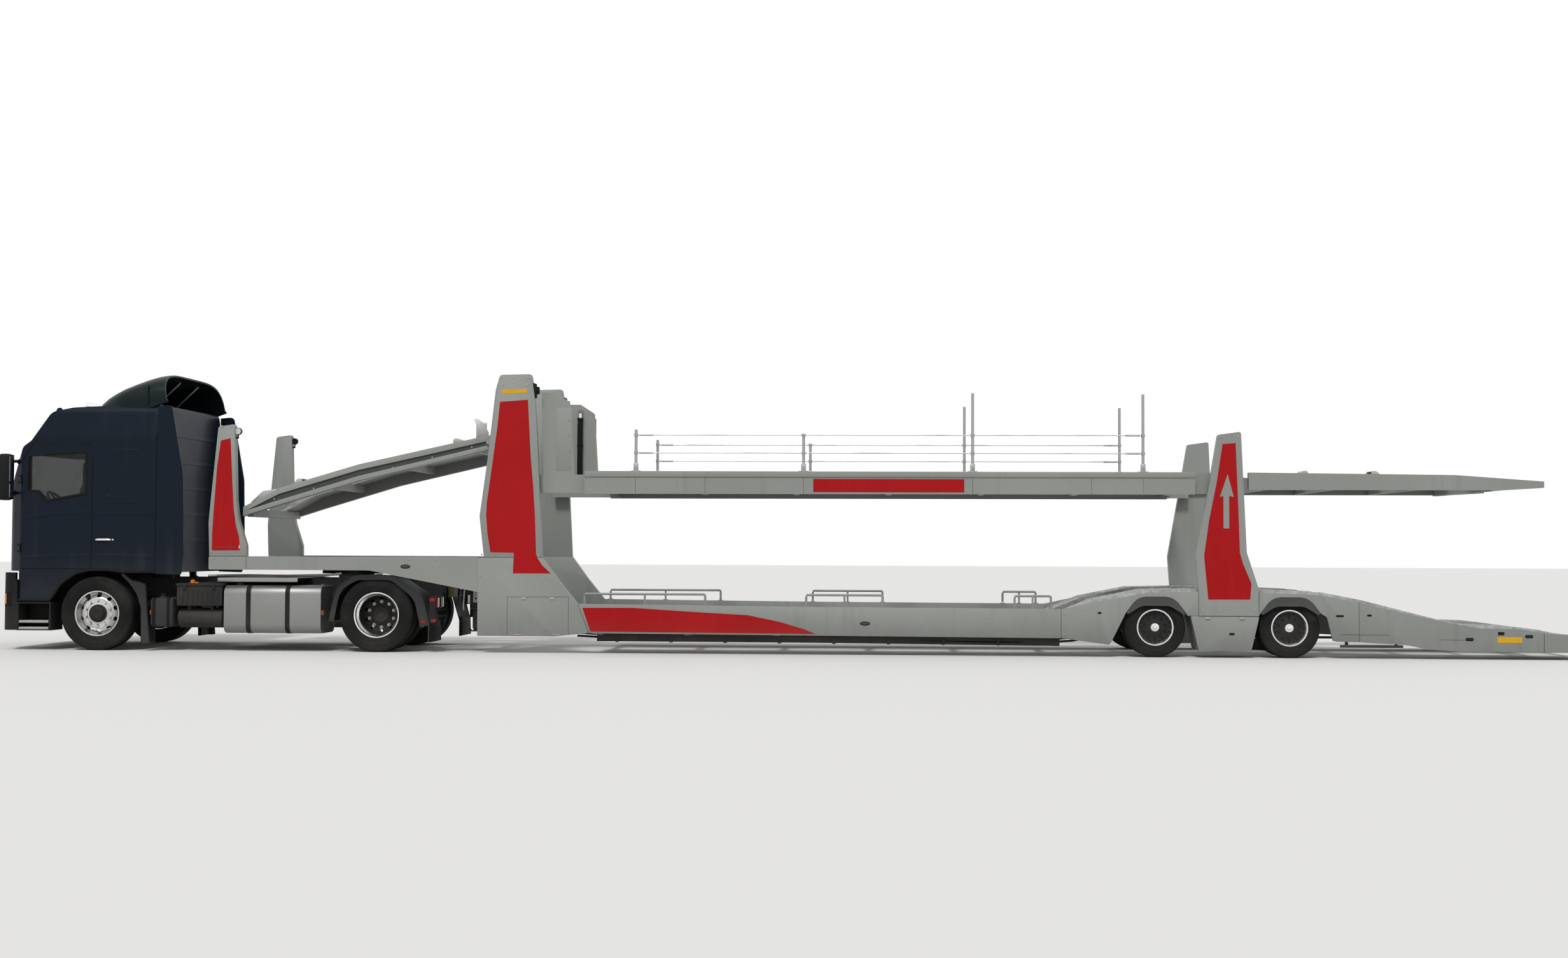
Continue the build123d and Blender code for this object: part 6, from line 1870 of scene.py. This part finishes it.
pillow = blown_up(soft_block((0.17, 0.27, 0.045), power=2.6, crown=0.01), 0.018, 0.01)
pillow = piece("bunk_pillow", placed(smoothed(pillow), (0.45, -0.8, 1.79)), "pale_cloth", "cab", soft=60)

# %% [markdown]
# ## Dashboard and doors inside
# The driver faces two plain dials under a hood, a dark display and rows of switches. Louvred air vents sit
# at both ends. The steering wheel gets a grip with sewn segments, and each door has an armrest, a pull
# handle and a pocket.

# %% Dashboard details
lean = atan2(0.15, 0.06)
panel = Matrix.Translation((-0.928, 0, 1.826)) @ Matrix.Rotation(lean, 4, "Y")


def on_panel(name, bm, finish):
    """A piece drawn in the panel's own plane: x runs down it, y across the cab and z out of it."""
    bmesh.ops.transform(bm, matrix=panel, verts=bm.verts[:])
    piece(name, bm, finish, "cab")


dials, hood = bmesh.new(), bmesh.new()
for y in (-0.725, -0.545):
    bar(dials, (0, y, -0.004), (0, y, 0.006), 0.06, 32)
    for k in range(9):
        a = radians(150 + 30 * k) + pi / 2
        way = Vector((cos(a), sin(a), 0))
        middle = Vector((0, y, 0.007))
        bar(dials, middle + way * 0.045, middle + way * 0.055, 0.0015, 4)
    bar(dials, (0.0, y, 0.007), (-0.03, y + 0.022, 0.007), 0.0018, 4)
box(hood, (-0.086, -0.072), (-0.82, -0.44), (-0.02, 0.055), 0.005)
for y in (-0.82, -0.44):
    box(hood, (-0.08, 0.07), about(y, 0.006), (-0.02, 0.03), 0.004)
box(hood, (-0.064, 0.062), (-0.335, -0.055), (-0.004, 0.01), 0.006)
for y in (-0.98, 0.2, 0.45, 0.98):
    for k in range(5):
        box(hood, (-0.03 + k * 0.014, -0.025 + k * 0.014), about(y, 0.06), (-0.004, 0.01), 0.001)
    for x in (-0.04, 0.036):
        box(hood, (x, x + 0.006), about(y, 0.07), (-0.004, 0.012), 0.002)
for k in range(9):
    y = -0.325 + k * 0.031
    box(hood, (0.068, 0.088), (y, y + 0.024), (-0.006, 0.009), 0.002)
on_panel("dashboard_dials", dials, "chrome")
on_panel("dashboard_hood", hood, "black")
grip = bmesh.new()
way = Vector((170, 0, 150)).normalized()
side_way, up_way = Vector((0, 1, 0)), way.cross(Vector((0, 1, 0)))
centre = Vector((-0.775, -SEAT_Y, 1.918))
for k in range(4):
    start = radians(45 + 90 * k - 17)
    turns = [start + radians(34) * j / 8 for j in range(9)]
    tube(grip, [centre + (side_way * cos(a) + up_way * sin(a)) * 0.215 for a in turns], 0.0175, 12)
piece("steering_grips", grip, "trim", "cab")
for word, side in SIDE.items():
    card = bmesh.new()
    inner = side * 1.196
    box(card, (-0.8, -0.16), sorted((inner, side * 1.15)), (1.64, 1.7), 0.014)
    box(card, (-0.95, -0.15), sorted((inner, side * 1.172)), (1.15, 1.36), 0.012)
    tube(card, [(-0.7, inner, 1.8), (-0.7, side * 1.155, 1.81), (-0.4, side * 1.155, 1.84),
                (-0.4, inner, 1.85)], 0.011, 10)
    piece(f"door_card_{word}", card, "inside", f"door_{word}")
print("cab inside")

# %% [markdown]
# ## The bumper's face
# Headlamps on a lorry sit in a dark recess: two round reflectors behind lenses and an amber strip at the
# corner. Below are fog lamps, cooling slots and a bare plate. Each lamp is built along the surface's own
# direction, so that it follows the bumper round the corner.

# %% Headlamps, fog lamps and slots
LAMP_FACE = surface("tractor_lamps", "front_bumper")
recess, bowls, lenses, strips = (bmesh.new() for _ in range(4))
patch(recess, LAMP_FACE, (-1.244, 0.566), (-0.836, 0.754), 0.002, 0.003, (16, 3))
for y, z, r in ((-0.915, 0.66, 0.066), (-1.065, 0.66, 0.06), (-0.985, 0.4, 0.052)):
    spot, normal = hit(LAMP_FACE, y, z, True)
    bar(bowls, spot, spot + normal * 0.005, r, 32)
    bar(bowls, spot, spot + normal * 0.009, r * 0.86, 32)
    bar(lenses, spot, spot + normal * 0.011, r * 0.8, 32)
patch(strips, LAMP_FACE, (-1.236, 0.6), (-1.15, 0.735), 0.005, 0.001, (6, 2))
pair("headlamp_recesses", recess, "trim", "tractor")
pair("headlamp_bowls", bowls, "chrome", "tractor")
pair("headlamp_lenses", lenses, "white", "tractor")
pair("front_indicators", strips, "amber", "tractor")
slots = bmesh.new()
for z in (0.61, 0.66, 0.71, 0.76, 0.81):
    for y0, y1 in ((-0.74, -0.06), (0.06, 0.74)):
        patch(slots, LAMP_FACE, (y0, z), (y1, z + 0.028), 0.0004, 0.002, (10, 1))
piece("bumper_slots", slots, "trim", "tractor")
edge = bmesh.new()
for z, width in ((0.292, 0.03), (0.868, 0.012)):
    drape(edge, LAMP_FACE, [(-1.2, z), (1.2, z)], width, 0.0003, 0.06, 0.002, True)
piece("bumper_edges", edge, "grey", "tractor", soft=50)
plate_front = box(bmesh.new(), (-1.3799, -1.376), (-0.26, 0.26), (0.305, 0.395))
for y in (-0.18, 0.18):
    bar(plate_front, (-1.378, y, 0.35), (-1.38, y, 0.35), 0.006, 8)
piece("front_blank_plate", plate_front, "pale", "tractor")
shield = box(bmesh.new(), (-1.1, -1.088), (-1.08, 1.08), (0.5, 0.925), 0.004)
for y in (0.58, 0.72, 0.86, 1.0, -0.58, -0.72, -0.86, -1.0):
    box(shield, (-1.107, -1.098), about(y, 0.02), (0.53, 0.9), 0.002)
box(shield, (-1.15, -1.1), (-0.41, 0.41), (0.55, 0.92), 0.006)
fin = box(bmesh.new(), (-1.154, -1.149), (-0.39, -0.387), (0.57, 0.9))
fins = repeated(fin, RUN, "trim", Count=65, Step=(0, 0.0121, 0))
piece("front_shield", join(shield, fins), "trim", "tractor")

# %% [markdown]
# ## Landing gear and coupling
# The landing gear's two legs each slide inside an outer tube and end in a swivelling foot. A gearbox and a
# cross shaft drive both, and a folded crank hangs on the near side. The coupler plate has a release handle.

# %% Landing gear
legs, shaft = bmesh.new(), bmesh.new()
boxes(legs,
      4862, 4978, -888, -772, 560, 1089, 8,
      4876, 4964, -874, -786, 300, 570, 6,
      4850, 4990, -900, -760, 548, 572, 4,
      4725, 4866, -905, -790, 735, 935, 14,
      4845, 4995, -905, -755, 1060, 1089, 4)
plate(legs, mm(4815, 290, 4835, 262, 5005, 262, 5025, 290, 5020, 296, 5000, 272, 4840, 272, 4820, 296),
      -0.93, -0.73, 0.002)
plate(legs, rounded(mm(4880, 268, 4960, 268, 4950, 345, 4890, 345), 0.02), -0.845, -0.815, 0.002)
bar(legs, (4.92, -0.89, 0.318), (4.92, -0.77, 0.318), 0.013, 12)
plate(legs, mm(4972, 700, 5060, 1060, 5095, 1060, 4972, 640), -0.835, -0.825, 0.001)
for z in (0.6, 0.69, 0.985):
    bar(legs, (4.92, -0.886, z), (4.92, -0.898, z), 0.012, 6)
pair("landing_gear", legs, "chassis", "trailer", "landing_legs")
bar(shaft, (4.8, -0.795, 0.86), (4.8, 0.795, 0.86), 0.017, 14)
for y in (-0.4, 0.0, 0.4):
    bar(shaft, (4.8, y - 0.03, 0.86), (4.8, y + 0.03, 0.86), 0.026, 14)
tube(shaft, mm(4795, -900, 860, 4795, -985, 860, 4795, -998, 848, 4795, -1000, 835, 4780, -1000, 560,
               4778, -994, 548, 4776, -980, 545, 4776, -900, 545, size=3), 0.011, 10)
piece("landing_gear_crank", shaft, "steel", "trailer")
stripe = box(bmesh.new(), (4.885, 4.955), (-0.8925, -0.8875), (0.64, 1.03), 0.001)
pair("landing_gear_strips", stripe, "pale", "trailer")
handle = bmesh.new()
tube(handle, curve(mm(3020, -320, 1010, 3020, -460, 1012, 3000, -600, 1006, 2970, -660, 998, size=3), 6),
     0.009, 10)
tube(handle, mm(2970, -660, 998, 2935, -672, 998, 2925, -650, 998, 2945, -632, 998, size=3), 0.008, 8)
piece("coupler_handle", handle, "steel", "tractor")

# %% [markdown]
# ## Towers and their fittings
# Each tower ends in a small cap with bolts. A marker lamp stands at the front tower's rear corner, and a
# black bracket at the main tower's. Beside the main tower a black cylinder with a bright rod lifts the deck
# between two pale guide plates.

# %% Tower fittings
caps = bolts([(5.3, 3.56, 2, 0.385, 0.0), (5.33, 3.47, 2, 0.32, 0.0), (1.64, 2.925, 2, 0.13, 0.0),
              (14.53, 2.8, 2, 0.215, 0.008), (14.29, 0.6, 4, 0.222, 0.0)], 0.011)
piece("tower_bolts", caps, "steel", "trailer")
bracket = plate(bmesh.new(), rounded(mm(5700, 3500, 5760, 3480, 5765, 3300, 5735, 3290, 5725, 3420), 0.008),
                -1.255, -1.2, 0.003)
plate(bracket, rounded(mm(5735, 3450, 5800, 3440, 5800, 3350, 5740, 3340), 0.01), -1.24, -1.215, 0.003)
bar(bracket, (5.775, -1.262, 3.395), (5.775, -1.195, 3.395), 0.013, 8)
pair("tower_brackets", bracket, "black", "trailer")
LAMP_X, LAMP_Z = 1.845, 2.862
lamp_arm, lamp_disc = bmesh.new(), bmesh.new()
bar(lamp_arm, (LAMP_X, -1.232, 2.78), (LAMP_X, -1.232, 2.86), 0.01, 8)
bar(lamp_arm, (LAMP_X, -1.25, LAMP_Z), (LAMP_X, -1.205, LAMP_Z), 0.046, 24)
bar(lamp_disc, (LAMP_X, -1.253, LAMP_Z), (LAMP_X, -1.249, LAMP_Z), 0.04, 24)
box(lamp_arm, (1.8, 1.85), (-1.245, -1.215), (2.765, 2.79), 0.004)
pair("marker_lamp_arms", lamp_arm, "black", "trailer")
pair("marker_lamp_discs", lamp_disc, "white", "trailer")

# %% Deck cylinder and guides
LIFT_X, LIFT_Y = 5.98, -1.05
barrel, rod = bmesh.new(), bmesh.new()
bar(barrel, (LIFT_X, LIFT_Y, 2.312), (LIFT_X, LIFT_Y, 3.19), 0.0355, 28)
for z in (2.325, 2.8, 3.175):
    bar(barrel, (LIFT_X, LIFT_Y, z - 0.014), (LIFT_X, LIFT_Y, z + 0.014), 0.043, 28)
tube(barrel, mm(5948, -1085, 2360, 5940, -1095, 2400, 5940, -1095, 3100, 5950, -1080, 3150, size=3), 0.009, 8)
pair("lift_cylinders", barrel, "trim", "deck_main", "deck_cylinders")
bar(rod, (LIFT_X, LIFT_Y, 3.19), (LIFT_X, LIFT_Y, 3.285), 0.022, 20)
bar(rod, (5.98, -1.075, 3.28), (5.98, -1.025, 3.28), 0.03, 20)
pair("lift_rods", rod, "chrome", "deck_main")
guides = bmesh.new()
box(guides, (6.0, 6.2), (-1.1125, -1.109), (2.36, 3.18), 0.001)
for z in (2.42, 2.62, 2.82, 3.02):
    bar(guides, (6.17, -1.11, z), (6.17, -1.118, z), 0.011, 6)
pair("deck_guide_covers", guides, "trailer", "deck_main")

# %% [markdown]
# ## Tail, lamps and boards
# The tail ends in a lamp bar: round red, amber and white lenses in a black housing, a bare plate between
# two small lamps, and two marker boards with a red edge. A black step hangs below the side beam.

# %% Tail fittings
housing, reds, ambers, whites = (bmesh.new() for _ in range(4))
box(housing, (19.1704, 19.19), (-1.2, -0.88), (0.14, 0.25), 0.006)
for y, target in ((-1.135, reds), (-1.04, ambers), (-0.945, whites)):
    bar(housing, (19.185, y, 0.195), (19.194, y, 0.195), 0.043, 28)
    bar(target, (19.188, y, 0.195), (19.1985, y, 0.195), 0.037, 28)
pair("rear_lamp_housings", housing, "black", "rear_extension", "trailer_lamps")
pair("rear_red_lenses", reds, "lamp_red", "rear_extension")
pair("rear_amber_lenses", ambers, "amber", "rear_extension")
pair("rear_white_lenses", whites, "white", "rear_extension")
boards, edges = bmesh.new(), bmesh.new()
box(boards, (19.1695, 19.1745), (-0.84, -0.38), (0.125, 0.255), 0.001)
for z in (0.131, 0.249):
    box(edges, (19.174, 19.1755), (-0.838, -0.382), about(z, 0.006))
for y in (-0.832, -0.388):
    box(edges, (19.174, 19.1755), about(y, 0.006), (0.125, 0.255))
pair("marker_boards", boards, "yellow", "rear_extension")
pair("marker_board_edges", edges, "lamp_red", "rear_extension")
plate_rear = box(bmesh.new(), (19.1695, 19.175), (-0.26, 0.26), (0.13, 0.245), 0.002)
piece("trailer_blank_plate", plate_rear, "pale", "rear_extension")
small = bmesh.new()
for y in (-0.3, 0.3):
    box(small, (19.165, 19.195), about(y, 0.02), (0.215, 0.26), 0.005)
piece("plate_lamps", small, "black", "rear_extension")
step = box(bmesh.new(), (16.02, 16.8), (-1.268, -1.215), (0.142, 0.172), 0.006)
for x in (16.1, 16.72):
    plate(step, [(x - 0.02, 0.15), (x + 0.02, 0.15), (x + 0.02, 0.24), (x - 0.02, 0.24)], -1.235, -1.225,
          0.001)
tread = bmesh.new()
box(tread, (16.04, 16.052), (-1.262, -1.22), (0.1718, 0.175), 0.001)
rungs = repeated(tread, RUN, "trim", Count=30, Step=(0.0255, 0, 0))
pair("tail_steps", join(step, rungs), "chassis", "trailer")
grips = bmesh.new()
for x, z in ((18.356, 0.296), (17.62, 0.255)):
    plate(grips, pill(x, z, 0.105, 0.042), -1.2775, -1.2745, 0.001)
    tube(grips, [(x - 0.034, -1.277, z), (x - 0.03, -1.288, z), (x + 0.03, -1.288, z),
                 (x + 0.034, -1.277, z)], 0.0045, 8)
pair("tail_grips", grips, "black", "trailer")
print("front and tail")

# %% [markdown]
# ## Floor and light
# A pale floor and a white surround show the shapes plainly. What the camera, a mirror or a pane sees of them
# is bright, while the light that they send onto the lorry is kept lower, by asking each ray what it is for.
# A large soft sun from the near side gives the panels a direction and puts a shadow under the chassis.


# %% Floor, surround and sun
class SkyMaker(Maker):
    """The same expressions for the world's own nodes."""

    def __init__(self, sky):
        self.tree = sky.node_tree


def seen(m):
    """1 where the camera, a mirror or a pane looks, 0 where a surface is only lit by it."""
    camera, glossy, through = (m.node("ShaderNodeLightPath", {}, output=f"Is {word} Ray")
                               for word in ("Camera", "Glossy", "Transmission"))
    return (camera + glossy + through).at_most(1.0)


LIT_BY_SKY = 0.62
floor_mesh = bmesh.new()
bmesh.ops.create_grid(floor_mesh, x_segments=1, y_segments=1, size=120)
floor_data = as_mesh(floor_mesh, "floor")
floor = bpy.data.objects.new("floor", floor_data)
scene.collection.objects.link(floor)
m = Maker("floor_paint")
tone = m.mix(seen(m), (0.4, 0.395, 0.385), (0.78, 0.775, 0.76))
floor_data.materials.append(m.finish(Base_Color=tone, Roughness=0.9, Metallic=0.0, Specular_IOR_Level=0.2))
world = bpy.data.worlds.new("studio")
world.use_nodes = True
scene.world = world
sky = SkyMaker(world)
strength = seen(sky) * (1.0 - LIT_BY_SKY) + LIT_BY_SKY
backdrop = world.node_tree.nodes["Background"]
backdrop.inputs[0].default_value = (1, 1, 1, 1)
world.node_tree.links.new(strength.socket, backdrop.inputs[1])
sun_data = bpy.data.lights.new("key", "SUN")
sun_data.energy = 1.5
sun_data.angle = radians(12)
sun = bpy.data.objects.new("key", sun_data)
sun.rotation_euler = (radians(38), radians(8), radians(-20))
scene.collection.objects.link(sun)
